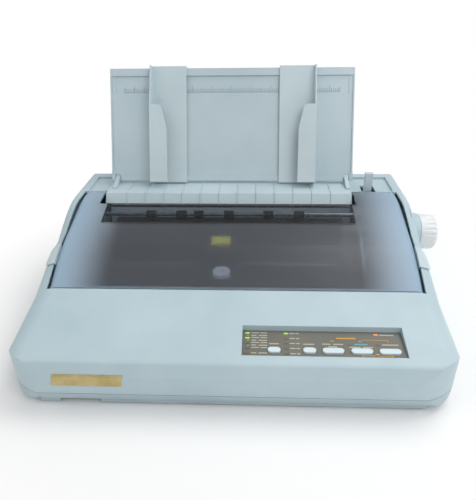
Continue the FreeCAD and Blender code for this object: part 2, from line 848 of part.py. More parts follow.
def casing_form(inset):
    """The whole casing as a solid, drawn in by the inset on every side."""
    body = Part.makeLoft([casing_section(y, top, radius, inset) for y, top, radius in casing_stations()],
                         True, True)
    front = float(S.casing_front_y) + inset
    foot = front + float(S.casing_front_tuck)
    deck_front = float(DECK_FRONT_Y) + inset
    swell = float(S.casing_front_swell_top_z)
    deck_z = float(S.deck_front_z)
    rear = float(S.casing_rear_y) - inset
    rear_top = rear - float(S.casing_rear_lean)
    high = float(S.rear_deck_z) + float(S.overrun)
    low = float(S.casing_bottom_z) - float(S.overrun)
    rear_lean = (rear - rear_top) / (float(S.rear_deck_z) - float(S.casing_rear_slope_z))
    width = float(S.casing_half_width) + float(S.overrun)
    bottom = float(S.casing_bottom_z)
    belt = float(S.casing_belt_z)

    def at(y, z):
        return FreeCAD.Vector(-width, y, z)

    below = at(foot, low)
    corner = at(foot, bottom)
    back_share, up_share = FRONT_BULGE_SHARES
    bulge = at(front + (foot - front) * back_share, bottom + (belt - bottom) * up_share)
    full = at(front, belt)
    top_swell = at(front, swell)
    crease = FreeCAD.Vector(-width, deck_front, deck_z + inset * (deck_slope() - 1))
    down = (top_swell - crease).normalize()
    along = FreeCAD.Vector(0, 1, deck_slope()).normalize()
    turned = math.pi - down.getAngle(along)
    radius = float(S.deck_edge_radius) - inset / 2
    crease_front = crease + down * (radius * math.tan(turned / 2))
    crease_rear = crease + along * (radius * math.tan(turned / 2))
    crease_middle = crease + (down + along).normalize() * (radius / math.cos(turned / 2) - radius)
    above_crease = at(crease_rear.y, high)
    rear_high = at(rear_top - rear_lean * (high - float(S.rear_deck_z)), high)
    rear_slope = at(rear, float(S.casing_rear_slope_z))
    rear_low = at(rear, low)
    edges = [
        Part.LineSegment(below, corner).toShape(),
        Part.Arc(corner, bulge, full).toShape(),
        Part.LineSegment(full, top_swell).toShape(),
        Part.LineSegment(top_swell, crease_front).toShape(),
        Part.Arc(crease_front, crease_middle, crease_rear).toShape(),
        Part.LineSegment(crease_rear, above_crease).toShape(),
        Part.LineSegment(above_crease, rear_high).toShape(),
        Part.LineSegment(rear_high, rear_slope).toShape(),
        Part.LineSegment(rear_slope, rear_low).toShape(),
        Part.LineSegment(rear_low, below).toShape(),
    ]
    side = Part.Face(Part.Wire(edges)).extrude(FreeCAD.Vector(2 * width, 0, 0))
    half = float(S.casing_half_width) - inset
    plan = Part.makeBox(2 * half, rear - front, high - low, FreeCAD.Vector(-half, front, low))
    for radius, face_y in ((S.casing_rear_corner_radius, rear), (S.casing_front_corner_radius, front)):
        corners = [edge for edge in plan.Edges
                   if runs_along(edge, "z") and math.isclose(edge.BoundBox.Center.y, face_y, abs_tol=CORNER_REACH)]
        plan = plan.makeFillet(float(radius), corners)
    return body.common(side).common(plan)


OUTER = casing_form(0.0)
INNER = casing_form(float(S.casing_wall))


def halfspace(low_z, high_z):
    """A slab wide enough to hold the casing between two heights."""
    margin = float(S.overrun)
    half = float(S.casing_half_width) + margin
    front = float(S.casing_front_y) - margin
    depth = float(S.casing_rear_y) + margin - front
    return Part.makeBox(2 * half, depth, high_z - low_z, FreeCAD.Vector(-half, front, low_z))


# Places that several pieces share

def panel_height(y):
    """Height of the control recess's floor at one place."""
    share = (as_size(y) - PANEL_FRONT_Y) / S.panel_depth
    return S.panel_floor_z + S.panel_slope_rise * share


def buttons():
    """Name, middle and width of each button, from left to right."""
    return (("button_font", PANEL_LEFT_X + S.button_font_inset, S.button_short_width),
            ("button_pitch", PANEL_LEFT_X + S.button_pitch_inset, S.button_short_width),
            ("button_set", PANEL_LEFT_X + S.button_set_inset, S.button_long_width),
            ("button_feed", PANEL_LEFT_X + S.button_feed_inset, S.button_long_width),
            ("button_online", PANEL_LEFT_X + S.button_online_inset, S.button_long_width))


def capsule(x, y, width, depth, z_span):
    """An upright block with half-round ends, like a button."""
    radius = depth / 2
    middle = block((x - width / 2 + radius, x + width / 2 - radius), (y - radius, y + radius), z_span)
    left = rod("z", z_span, (x - width / 2 + radius, y), radius)
    right = rod("z", z_span, (x + width / 2 - radius, y), radius)
    return fuse([middle, left, right])


def leds():
    """Kind, place and width of every lamp on the panel."""
    lamps = []
    for row in range(LED_ROWS):
        y = PANEL_REAR_Y - S.led_first_inset - S.led_pitch_y * row
        lamps.append(("green" if row in (0, 1) else "off", PANEL_LEFT_X + S.led_column_1_inset, y, S.led_width))
        lamps.append(("green" if row == 0 else "off", PANEL_LEFT_X + S.led_column_2_inset, y, S.led_width))
    lamps.append(("amber", PANEL_LEFT_X + S.led_power_inset, PANEL_REAR_Y - S.led_first_inset, S.led_width))
    small_y = PANEL_REAR_Y - S.led_small_inset
    for inset in (S.led_quiet_inset, S.led_online_inset):
        lamps.append(("off", PANEL_LEFT_X + inset, small_y, S.led_small_width))
    return lamps


def corner_places(left, right, front, rear):
    """The four corners of a rectangle."""
    return [(x, y) for x in (left, right) for y in (front, rear)]


def foot_places():
    half = PLINTH_HALF - S.foot_inset_x
    return corner_places(-half, half, PLINTH_FRONT_Y + S.foot_inset_y, PLINTH_REAR_Y - S.foot_inset_y)


def case_screw_places():
    half = PLINTH_HALF - S.case_screw_inset_x
    inset = S.case_screw_inset_y
    return corner_places(-half, half, PLINTH_FRONT_Y + inset, PLINTH_REAR_Y - inset)


def chassis_post_places():
    inset = S.chassis_post_inset
    return corner_places(CHASSIS_LEFT_X + inset, CHASSIS_RIGHT_X - inset,
                         S.chassis_front_y + inset, S.chassis_rear_y - inset)


def standoff_places():
    inset = S.standoff_inset
    return corner_places(BOARD_LEFT_X + inset, BOARD_RIGHT_X - inset,
                         BOARD_FRONT_Y + inset, BOARD_REAR_Y - inset)


LEFT_PLATE = (PLATE_LEFT_X - S.plate_thick, PLATE_LEFT_X)
RIGHT_PLATE = (PLATE_RIGHT_X, PLATE_RIGHT_X + S.plate_thick)
PLATEN = (S.platen_y, S.platen_z)
BAIL_PIVOT = (S.bail_pivot_y, S.bail_pivot_z)
HINGE = (S.cover_rear_y - S.hinge_inset, S.cover_rear_z - S.hinge_drop)
GUIDE_PIVOT = (S.rear_cover_back_y - S.guide_pivot_inset, S.rear_cover_top_z + S.guide_pivot_rise)
LEVER_PIVOT = (S.lever_pivot_y, S.lever_pivot_z)


def pitch_radius(teeth):
    return S.gear_module * teeth / 2


def along_from(place, distance, degrees):
    """A place at a distance and direction from another, across X."""
    turn = math.radians(degrees)
    return place[0] + distance * math.cos(turn), place[1] + distance * math.sin(turn)


FEED_LINE = float(S.feed_line_deg)
IDLER = along_from(PLATEN, pitch_radius(PLATEN_TEETH) + pitch_radius(IDLER_TEETH), FEED_LINE)
PINION = along_from(IDLER, pitch_radius(IDLER_TEETH) + pitch_radius(PINION_TEETH), FEED_LINE)
TRACTOR_LINE = FEED_LINE + 180 - TRACTOR_PITCHES_ROUND_IDLER * 360 / IDLER_TEETH
TRACTOR = along_from(IDLER, pitch_radius(IDLER_TEETH) + pitch_radius(TRACTOR_TEETH), TRACTOR_LINE)
TRACTOR_ROD = (TRACTOR[0], TRACTOR[1] + S.tractor_rod_up)


# Casing shells

def make_upper_case():
    """The upper shell with its openings, control recess, knob boss and hinge lugs."""
    seam = float(S.casing_seam_z) + float(S.casing_seam_gap) / 2
    high = float(S.rear_deck_z) + 2 * float(S.overrun)
    slab = halfspace(seam, high)
    outer = feature(OUTER.common(slab), "upper_outer")
    wall = S.panel_tray_wall
    tray_front, tray_rear = PANEL_FRONT_Y - wall, PANEL_REAR_Y + wall
    tray_points = ((tray_front, panel_height(tray_front) - S.panel_tray_thick),
                   (tray_rear, panel_height(tray_rear) - S.panel_tray_thick),
                   (tray_rear, S.rear_deck_z), (tray_front, S.rear_deck_z))
    tray = outline_body("x", (PANEL_LEFT_X - wall, PANEL_RIGHT_X + wall), tray_points, "control_tray")
    rear_floor_z = S.rear_deck_z - S.rear_recess_depth - S.casing_wall
    rear_tray = block((-RECESS_HALF - wall, RECESS_HALF + wall),
                      (RECESS_FRONT_Y - wall, RECESS_REAR_Y + wall),
                      (rear_floor_z, S.rear_deck_z + S.overrun))
    inner = feature(INNER.common(halfspace(seam - float(S.overrun), high)), "upper_inner")
    hollow = cut(inner, [tray, rear_tray], "upper_hollow")
    flare_x, neck_x = SIDE_X - S.knob_boss_flare_inset, SIDE_X - S.knob_boss_neck_inset
    boss = [cone((BOSS_BASE_X, flare_x), PLATEN, (S.knob_boss_base_radius, S.knob_boss_flare_radius)),
            cone((flare_x, neck_x), PLATEN, (S.knob_boss_flare_radius, S.knob_boss_neck_radius)),
            cone((neck_x, BOSS_END_X), PLATEN, (S.knob_boss_neck_radius, S.knob_boss_end_radius))]
    shell = cut(fuse([outer] + boss), [hollow], "upper_shell")
    pocket_points = ((PANEL_FRONT_Y, panel_height(PANEL_FRONT_Y)), (PANEL_REAR_Y, panel_height(PANEL_REAR_Y)),
                     (PANEL_REAR_Y, S.rear_deck_z), (PANEL_FRONT_Y, S.rear_deck_z))
    pocket = outline_body("x", (PANEL_LEFT_X, PANEL_RIGHT_X), pocket_points, "control_pocket")
    gap = S.cover_gap
    side = COVER_HALF + gap
    above = (S.deck_front_z - S.overrun, S.rear_deck_z + S.overrun)
    opening = block((-side, side), (S.cover_front_y - gap, S.cover_rear_y + S.cover_rear_gap), above)
    rear_gap = S.seat_gap
    rear_opening = block((REAR_LEFT_X - rear_gap, REAR_RIGHT_X + rear_gap),
                         (S.cover_front_y, S.rear_cover_back_y + rear_gap), above)
    rear_pocket = block((-RECESS_HALF, RECESS_HALF),
                        (RECESS_FRONT_Y, RECESS_REAR_Y),
                        (S.rear_deck_z - S.rear_recess_depth, S.rear_deck_z + S.overrun))
    lever_rear_y = S.lever_front_y + S.lever_thick
    lever_slot = block((LEVER_LEFT_X - S.lever_slot_left_gap, LEVER_RIGHT_X + S.lever_slot_right_gap),
                       (S.lever_front_y - S.lever_slot_front_gap, lever_rear_y + S.lever_slot_rear_gap), above)
    shaft_hole = rod("x", (BOSS_BASE_X - 2 * S.overrun, BOSS_END_X + S.overrun), PLATEN, S.knob_hole_radius)
    tools = [pocket, opening, rear_opening, rear_pocket, lever_slot, shaft_hole] + case_port_holes()
    for _, x, width in buttons():
        tools.append(capsule(x, BUTTON_ROW_Y, width + 2 * S.button_gap, S.button_depth + 2 * S.button_gap,
                             (PANEL_BOARD_Z, S.rear_deck_z)))
    for _, x, y, width in leds():
        half_width = width / 2 + S.led_fit
        half_depth = S.led_depth / 2 + S.led_fit
        tools.append(block((x - half_width, x + half_width), (y - half_depth, y + half_depth),
                           (PANEL_BOARD_Z, S.rear_deck_z)))
    shell = cut(shell, tools, "upper_open")
    pieces = [shell, cover_ledge()] + hinge_lugs()
    part("upper_case", fuse(pieces))


def case_port_holes():
    """Holes in the rear wall for the inlet, the switch and the interface connector, and the vents."""
    wall_span = (S.casing_rear_y - 3 * S.casing_wall, S.casing_rear_y + S.overrun)
    holes = []
    for x, z, half_width, half_height in ((INLET_X, S.inlet_z, S.inlet_half_width, S.inlet_half_height),
                                          (SWITCH_X, S.inlet_z, S.switch_half_width, S.switch_half_height),
                                          (PORT_X, S.port_z, S.port_half_width, S.port_half_height)):
        holes.append(block((x - half_width, x + half_width), wall_span, (z - half_height, z + half_height)))
    first = PORT_X + S.port_half_width + 2 * S.port_flange
    for index in range(VENT_COUNT):
        x = first + S.vent_slot_pitch * index
        low = S.inlet_z + S.inlet_half_height + 2 * S.inlet_flange
        holes.append(block((x, x + S.vent_slot_width), wall_span, (low, low + S.vent_slot_height)))
    return holes


def cover_ledge():
    """The ledge that the cover's front edge comes down on."""
    back = S.cover_front_y + S.cover_ledge_depth
    top = S.cover_front_z - S.cover_wall - S.seat_gap
    side = COVER_HALF - S.cover_side_radius
    return block((-side, side), (S.cover_front_y - 2 * S.cover_gap, back), (top - S.cover_ledge_thick, top))


def hinge_lugs():
    """The two lugs of the casing that carry the cover's hinge pins."""
    lugs = []
    half = S.hinge_lug_width / 2
    for side in (-1, 1):
        middle = HINGE_LUG_X * side
        radius = S.hinge_knuckle_radius
        eye = rod("x", (middle - half, middle + half), HINGE, radius)
        rear = S.cover_rear_y + S.cover_rear_gap + S.casing_wall
        root = block((middle - half, middle + half), (HINGE[0], rear), (HINGE[1] - radius, HINGE[1]))
        bore = rod("x", (middle - half - S.overrun, middle + half + S.overrun), HINGE,
                   S.hinge_pin_radius + S.running_clearance)
        lugs.append(cut(fuse([eye, root]), [bore]))
    return lugs


def make_lower_case():
    """The lower tray with plinth, lip and the posts that carry what is inside."""
    seam = float(S.casing_seam_z) - float(S.casing_seam_gap) / 2
    low = float(S.casing_bottom_z) - float(S.overrun)
    shell = feature(OUTER.common(halfspace(low, seam)), "lower_outer")
    hollow = feature(INNER.common(halfspace(low, seam + float(S.lip_height))), "lower_inner")
    tray = cut(shell, [hollow], "lower_tray")
    lip_outer = casing_form(float(S.casing_wall) + float(S.seat_gap))
    lip_inner = casing_form(float(S.casing_wall) + float(S.seat_gap) + float(S.lip_thick))
    lip_slab = halfspace(seam - float(S.lip_height), seam + float(S.lip_height))
    lip = feature(lip_outer.cut(lip_inner).common(lip_slab), "lip")
    link_outer = casing_form(float(S.casing_wall) / 2)
    link_slab = halfspace(seam - float(S.lip_height), seam)
    link = feature(link_outer.cut(lip_inner).common(link_slab), "lip_root")
    wall = S.casing_wall
    plinth = block((-PLINTH_HALF, PLINTH_HALF), (PLINTH_FRONT_Y, PLINTH_REAR_Y),
                   (S.plinth_z, S.casing_bottom_z + wall))
    room = block((wall - PLINTH_HALF, PLINTH_HALF - wall),
                 (PLINTH_FRONT_Y + S.plinth_notch_depth + wall, PLINTH_REAR_Y - wall),
                 (FLOOR_Z, S.casing_bottom_z + 2 * wall))
    notch_left = S.plinth_notch_inset - PLINTH_HALF
    notch = block((notch_left, notch_left + S.plinth_notch_width),
                  (PLINTH_FRONT_Y - S.overrun, PLINTH_FRONT_Y + S.plinth_notch_depth),
                  (S.plinth_z - S.overrun, S.plinth_z + S.plinth_notch_height))
    pieces = [cut(fuse([tray, lip, link, plinth]), [room], "lower_stepped_tray")]
    for place in chassis_post_places():
        pieces.append(rod("z", (S.plinth_z, S.chassis_z), place, S.chassis_post_radius))
    for place in standoff_places():
        pieces.append(rod("z", (S.plinth_z, S.board_low_z), place, S.standoff_radius))
    for place in case_screw_places():
        pieces.append(rod("z", (S.plinth_z, S.casing_seam_z - S.casing_seam_gap), place, S.case_boss_radius))
    tools = [notch]
    head_top = S.plinth_z + S.case_screw_head_height
    for x, y in case_screw_places():
        tools.append(rod("z", (ZERO, head_top), (x, y), S.case_screw_head_radius))
        tools.append(rod("z", (ZERO, head_top + S.case_screw_length), (x, y), S.case_screw_radius))
    for x, y in foot_places():
        tools.append(rod("z", (ZERO, S.plinth_z + S.foot_seat_depth), (x, y), S.foot_radius))
    part("lower_case", cut(fuse(pieces), tools))


def make_feet_and_screws():
    """Rubber feet in shallow seats and the screws that come up through the plinth."""
    feet = [rod("z", (ZERO, S.plinth_z + S.foot_seat_depth), place, S.foot_radius) for place in foot_places()]
    part("rubber_feet", group(feet))
    screws = []
    head_top = S.plinth_z + S.case_screw_head_height
    for place in case_screw_places():
        head = rod("z", (S.plinth_z, head_top), place, S.case_screw_head_radius)
        shank = rod("z", (S.plinth_z, head_top + S.case_screw_length), place, S.case_screw_radius)
        recess = rod("z", (S.plinth_z - S.overrun, S.plinth_z + S.case_screw_head_height / 2), place,
                     S.case_screw_drive_radius)
        screws.append(cut(fuse([head, shank]), [recess]))
    part("case_screws", group(screws))


# Control panel

def make_control_panel():
    """Plate, lamps, board and the five buttons."""
    inset = S.seat_gap
    thick = S.panel_plate_thick
    front, rear = PANEL_FRONT_Y + inset, PANEL_REAR_Y - inset
    points = ((front, panel_height(front)), (rear, panel_height(rear)),
              (rear, panel_height(rear) + thick), (front, panel_height(front) + thick))
    plate = outline_body("x", (PANEL_LEFT_X + inset, PANEL_RIGHT_X - inset), points, "control_sheet")
    tools = []
    for _, x, width in buttons():
        tools.append(capsule(x, BUTTON_ROW_Y, width + 2 * S.button_gap, S.button_depth + 2 * S.button_gap,
                             (PANEL_BOARD_Z, S.rear_deck_z)))
    for _, x, y, width in leds():
        half_width = width / 2 + S.led_fit
        half_depth = S.led_depth / 2 + S.led_fit
        tools.append(block((x - half_width, x + half_width), (y - half_depth, y + half_depth),
                           (PANEL_BOARD_Z, S.rear_deck_z)))
    part("control_plate", cut(plate, tools))
    for kind, label in (("green", "leds_green"), ("amber", "led_amber"), ("off", "leds_unlit")):
        lamps = []
        for lamp_kind, x, y, width in leds():
            if lamp_kind == kind:
                top = panel_height(y) + thick + S.led_proud
                lamps.append(block((x - width / 2, x + width / 2), (y - S.led_depth / 2, y + S.led_depth / 2),
                                   (PANEL_BOARD_Z, top)))
        part(label, group(lamps))
    margin = S.panel_tray_wall
    board = block((PANEL_LEFT_X - margin, PANEL_RIGHT_X + margin),
                  (PANEL_FRONT_Y + margin, PANEL_REAR_Y), (PANEL_BOARD_Z - S.board_thick, PANEL_BOARD_Z))
    post_places = corner_places(PANEL_LEFT_X, PANEL_RIGHT_X, PANEL_FRONT_Y + 2 * margin, PANEL_REAR_Y - margin)
    posts = [rod("z", (PANEL_BOARD_Z - S.board_thick, panel_height(y - margin) - S.panel_tray_thick),
                 (x, y), margin)
             for x, y in post_places]
    part("panel_board", fuse([board] + posts))
    for label, x, width in buttons():
        top = panel_height(BUTTON_ROW_Y) + thick + S.button_stand
        flange = S.button_flange
        under = panel_height(BUTTON_ROW_Y - S.button_depth / 2 - flange) - S.panel_tray_thick - S.seat_gap
        cap = capsule(x, BUTTON_ROW_Y, width, S.button_depth, (under - S.button_flange_thick, top))
        ledge = capsule(x, BUTTON_ROW_Y, width + 2 * flange, S.button_depth + 2 * flange,
                        (under - S.button_flange_thick, under))
        part(label, fuse([cap, ledge]))


def make_name_plate():
    """A bare metal plate, cut on the slant, lying on the swelling front face."""
    thick = float(S.name_plate_thick)
    skin = feature(casing_form(-thick).cut(OUTER), "plate_skin")
    slant = S.name_plate_slant
    left = S.name_plate_inset - SIDE_X
    right = left + S.name_plate_width
    points = ((left, S.name_plate_low_z), (right - slant, S.name_plate_low_z),
              (right, S.name_plate_high_z), (left + slant, S.name_plate_high_z))
    stamp = outline_body("y", (S.casing_front_y - S.overrun, S.casing_front_y + 2 * S.overrun), points, "stamp")
    part("name_plate", common(skin, stamp))


# Smoked cover

def cover_section(y, top, inset):
    """Closed line across X: the band between the cover's outer and inner line, or the whole inside of it."""
    half = float(COVER_HALF)
    radius = float(S.cover_side_radius)
    low = top - float(S.cover_skirt)
    diagonal = math.sqrt(0.5)

    def arch(offset, reverse):
        reach = half - offset
        crown = top - offset
        bend = radius - offset
        right = [(reach, low), (reach, crown - bend),
                 (reach - bend + bend * diagonal, crown - bend + bend * diagonal), (reach - bend, crown)]
        left = [(-x, z) for x, z in reversed(right)]
        points = right + left
        if reverse:
            points.reverse()
        places = [FreeCAD.Vector(x, y, z) for x, z in points]
        return [Part.LineSegment(places[0], places[1]).toShape(),
                Part.Arc(places[1], places[2], places[3]).toShape(),
                Part.LineSegment(places[3], places[4]).toShape(),
                Part.Arc(places[4], places[5], places[6]).toShape(),
                Part.LineSegment(places[6], places[7]).toShape()]

    outer = arch(0.0, False)
    if not inset:
        foot = Part.LineSegment(FreeCAD.Vector(-half, y, low), FreeCAD.Vector(half, y, low)).toShape()
        return Part.Wire(outer + [foot])
    inner = arch(inset, True)
    feet = [Part.LineSegment(FreeCAD.Vector(-half, y, low), FreeCAD.Vector(-half + inset, y, low)).toShape(),
            Part.LineSegment(FreeCAD.Vector(half - inset, y, low), FreeCAD.Vector(half, y, low)).toShape()]
    return Part.Wire(outer + [feet[0]] + inner + [feet[1]])


def make_cover():
    """The frosted cover, its clear window, its two finger grips and its hinge pins.

    Each grip is a skin over the casing's shoulder with a web down the gap beside the cover.
    """
    wall = float(S.cover_wall)
    line = cover_line()
    band = Part.makeLoft([cover_section(point.y, point.z, wall) for point in line], True, True)
    filled = feature(Part.makeLoft([cover_section(point.y, point.z, 0.0) for point in line], True, True))
    shell = feature(band, "cover_band")
    high = (S.cover_front_z - 2 * S.cover_skirt, S.cover_rear_z + S.overrun)
    recess = block((EAR_LEFT_X, EAR_RIGHT_X), (COVER_MIDDLE_REAR_Y, S.cover_rear_y + S.overrun), high)
    low_z = HINGE[1] - S.hinge_knuckle_radius - S.seat_gap
    rear_skirt = block((-COVER_HALF - S.overrun, COVER_HALF + S.overrun),
                       (HINGE[0] - 3 * S.hinge_knuckle_radius, S.cover_rear_y + S.overrun),
                       (S.cover_front_z, low_z))
    tools = [recess, rear_skirt]
    notch_half = S.hinge_lug_width / 2 + S.hinge_side_gap
    reach = S.hinge_knuckle_radius + 2 * S.seat_gap
    for side in (-1, 1):
        middle = HINGE_LUG_X * side
        tools.append(block((middle - notch_half, middle + notch_half),
                           (HINGE[0] - reach, S.cover_rear_y + S.overrun),
                           high))
    shell = cut(shell, tools)
    opening = block((EAR_LEFT_X + S.window_left_inset, EAR_RIGHT_X - S.window_right_inset),
                    (S.window_front_y, COVER_MIDDLE_REAR_Y), high)
    part("cover_window", common(shell, opening))
    part("cover_panel", fuse([cut(shell, [opening])] + cover_pins()))
    clearance = float(S.grip_clearance)
    grip_form = casing_form(-clearance - float(S.grip_wall))
    web_half = float(COVER_HALF) + float(S.grip_web)
    web_room = Part.makeBox(2 * web_half, float(S.cover_rear_y - S.cover_front_y),
                            float(S.rear_deck_z - S.deck_front_z),
                            FreeCAD.Vector(-web_half, float(S.cover_front_y), float(S.deck_front_z)))
    skin = fuse([feature(grip_form.cut(casing_form(-clearance)), "grip_skin"),
                 feature(grip_form.common(web_room), "grip_web")])
    grip_z = cover_height(S.grip_y) - float(S.grip_drop)
    grips = []
    for side in (-1, 1):
        span = sorted((float(COVER_HALF) * side, (float(S.casing_half_width) + float(S.overrun)) * side))
        stamp = Part.makeCylinder(float(S.grip_radius), span[1] - span[0],
                                  FreeCAD.Vector(span[0], float(S.grip_y), grip_z), FreeCAD.Vector(1, 0, 0))
        grips.append(cut(common(skin, feature(stamp, "grip_stamp")), [filled]))
    part("cover_grips", group(grips))


def cover_pins():
    """The pins and knuckles moulded on the cover, on either side of each lug of the casing."""
    pins = []
    half = S.hinge_lug_width / 2 + S.hinge_side_gap
    for side in (-1, 1):
        middle = HINGE_LUG_X * side
        width = S.hinge_knuckle_width
        pin = rod("x", (middle - half - width, middle + half + width), HINGE, S.hinge_pin_radius)
        knuckles = []
        for start in (middle - half - width, middle + half):
            knuckles.append(rod("x", (start, start + width), HINGE, S.hinge_knuckle_radius))
        pins.append(fuse([pin] + knuckles))
    return pins


def cover_height(y):
    """Height of the cover's top at one place."""
    line = cover_line()
    for before, after in zip(line, line[1:]):
        if before.y <= float(y) <= after.y:
            share = (float(y) - before.y) / (after.y - before.y)
            return before.z + (after.z - before.z) * share
    return line[-1].z


# Rear cover and sheet guide

def make_rear_cover():
    """The ribbed cover over the tractors, with the two lugs that carry the sheet guide."""
    wall = S.rear_cover_wall
    lip, fold, back = S.rear_cover_lip_y, S.rear_cover_fold_y, S.rear_cover_back_y
    top = S.rear_cover_top_z
    points = ((lip, S.rear_cover_lip_z), (fold, top), (back, top), (back, top - wall),
              (fold + wall / 2, top - wall),
              (lip + wall * LIP_CUT_SHARES[0], S.rear_cover_lip_z - wall * LIP_CUT_SHARES[1]))
    span = (REAR_LEFT_X, REAR_RIGHT_X)
    pieces = [outline_body("x", span, points, "rear_cover_sheet")]
    height = S.rear_cover_rib_height
    rib_points = ((lip - height, S.rear_cover_lip_z - S.rear_cover_tooth), (lip - height, S.rear_cover_lip_z),
                  (fold - height * RIB_SLANT_SHARE, top + height), (back - S.guide_lug_depth, top + height),
                  (back - S.guide_lug_depth, top - wall / 2), (fold + wall / 2, top - wall / 2),
                  (lip + wall / 2, S.rear_cover_lip_z - S.rear_cover_tooth))
    for index in range(RIB_COUNT):
        x = REAR_LEFT_X + S.rear_cover_rib_inset + S.rear_cover_rib_pitch * index
        half = S.rear_cover_rib_width / 2
        pieces.append(outline_body("x", (x - half, x + half), rib_points, "rib"))
    for middle in (LUG_LEFT_X, LUG_RIGHT_X):
        half = S.guide_lug_width / 2
        foot = outline_body("x", (middle - half, middle + half),
                            ((S.guide_lug_front_y, top - wall), (back, top - wall), (back, GUIDE_PIVOT[1]),
                             (GUIDE_PIVOT[0], GUIDE_PIVOT[1] + S.guide_lug_depth / 2),
                             (S.guide_lug_front_y, top + S.guide_lug_front_rise)), "guide_lug")
        eye = rod("x", (middle - half, middle + half), GUIDE_PIVOT, S.guide_lug_depth / 2)
        pieces += [foot, eye]
    for side in (-1, 1):
        x = span[0] if side < 0 else span[1]
        inner = x - wall * side
        low, high = (x, inner) if side < 0 else (inner, x)
        pieces.append(block((low, high), (fold + wall, back), (S.rear_cover_skirt_z, top - wall / 2)))
    bore = rod("x", (span[0] - S.overrun, span[1] + S.overrun), GUIDE_PIVOT,
               S.guide_pin_radius + S.running_clearance)
    clear = rod("x", (LUG_LEFT_X + S.guide_lug_width, LUG_RIGHT_X - S.guide_lug_width), GUIDE_PIVOT,
                S.guide_lug_depth / 2)
    part("rear_cover", cut(fuse(pieces), [bore, clear]))


def lean_placement():
    """Where the sheet guide's own flat frame stands: up along its lean, facing the operator."""
    turn = FreeCAD.Rotation(FreeCAD.Vector(1, 0, 0), 90 - float(S.guide_lean_deg))
    return FreeCAD.Placement(FreeCAD.Vector(0, float(GUIDE_PIVOT[0]), float(GUIDE_PIVOT[1])), turn)


def make_sheet_guide():
    """The flat guide: rims, a shallow recess with a ruler's place, and the pivot ears."""
    left, right = REAR_LEFT_X - S.guide_left_overhang, REAR_RIGHT_X + S.guide_right_overhang
    low, high = -S.guide_foot_drop, S.guide_height - S.guide_foot_drop
    thick = S.guide_thick
    rim = S.guide_rim_height
    plate = block((left, right), (low, high), (-thick / 2, thick / 2))
    top_rim = block((left, right), (high - S.guide_ruler_top, high), (-thick / 2, thick / 2 + rim))
    foot_rim = block((left, right), (low, low + S.guide_rim_width), (-thick / 2, thick / 2 + rim))
    side_rims = [block((x, x + S.edge_guide_thick), (low, high), (-thick / 2, thick / 2 + rim))
                 for x in (left, right - S.edge_guide_thick)]
    ruler = block((left + S.guide_rim_width, right - S.guide_rim_width),
                  (high - S.guide_ruler_top - S.guide_ruler_height, high - S.guide_ruler_top),
                  (thick / 2 - S.guide_ruler_depth, thick))
    notches = []
    ear_pieces = []
    gap = S.guide_ear_gap
    for middle, side in ((LUG_LEFT_X, -1), (LUG_RIGHT_X, 1)):
        lug_half = S.guide_lug_width / 2 + gap
        notches.append(block((middle - lug_half, middle + lug_half), (low - S.overrun, S.guide_ear_height),
                             (-thick * 2, thick * 2)))
        start = middle + lug_half * side
        end = start + S.guide_ear_width * side
        ear_low, ear_high = (end, start) if side < 0 else (start, end)
        ear_pieces.append(block((ear_low, ear_high), (low, S.guide_ear_height + thick),
                                (-thick / 2, thick / 2 + rim)))
        pin_start = middle - (lug_half + S.guide_ear_width) * side
        pin_low, pin_high = (end, pin_start) if side < 0 else (pin_start, end)
        ear_pieces.append(rod("x", (pin_low, pin_high), (ZERO, ZERO), S.guide_pin_radius))
        ear_pieces.append(block((ear_low, ear_high), (S.guide_ear_height, S.guide_ear_height + 2 * thick),
                                (-thick / 2, thick / 2)))
    sheet_body = cut(fuse([plate, top_rim, foot_rim] + side_rims), [ruler] + notches)
    guide = part("sheet_guide", fuse([sheet_body] + ear_pieces))
    guide.Placement = lean_placement()


def make_edge_guide(label, wall_x, end_x):
    """A sliding paper guide: plate, hooks round the rims, side wall and the flap that bends inwards."""
    side = 1 if float(end_x) > float(wall_x) else -1
    low, high = -S.guide_foot_drop, S.guide_height - S.guide_foot_drop
    front = S.guide_thick / 2 + S.guide_rim_height + S.edge_guide_gap
    back = -S.guide_thick / 2 - S.edge_guide_gap
    thick = S.edge_guide_thick
    reach = S.edge_guide_gap + thick

    def across(start, end):
        return (start, end) if float(start) < float(end) else (end, start)

    plate = block(across(wall_x, end_x), (low - reach, high + reach), (front, front + thick))
    top_hook = block(across(wall_x, end_x), (high + S.edge_guide_gap, high + reach),
                     (back - thick, front + thick))
    top_back = block(across(wall_x, end_x), (high - S.edge_guide_hook, high + reach), (back - thick, back))
    foot_hook = block(across(wall_x, end_x), (low - reach, low - S.edge_guide_gap), (ZERO, front + thick))
    wall_inner = wall_x + thick * side
    flap_front = front + S.edge_wall_height
    upright = outline_body("x", across(wall_x, wall_inner),
                           ((low - reach, front), (high + reach, front),
                            (high + reach, front + S.edge_wall_top_height),
                            (S.edge_flap_top_height, flap_front), (low - reach, flap_front)), "guide_wall")
    flap_thick = S.edge_flap_thick
    flap = outline_body("z", (flap_front - flap_thick, flap_front),
                        ((wall_x, low - reach), (wall_x + S.edge_flap_low_width * side, low - reach),
                         (wall_x + S.edge_flap_width * side, S.edge_flap_shoulder_height),
                         (wall_x + S.edge_flap_top_width * side, S.edge_flap_top_height - flap_thick),
                         (wall_x + S.edge_flap_top_width * FLAP_TOP_SHARE * side, S.edge_flap_top_height),
                         (wall_x, S.edge_flap_top_height)), "guide_flap")
    guide = part(label, fuse([plate, top_hook, top_back, foot_hook, upright, flap]))
    guide.Placement = lean_placement()


# Chassis

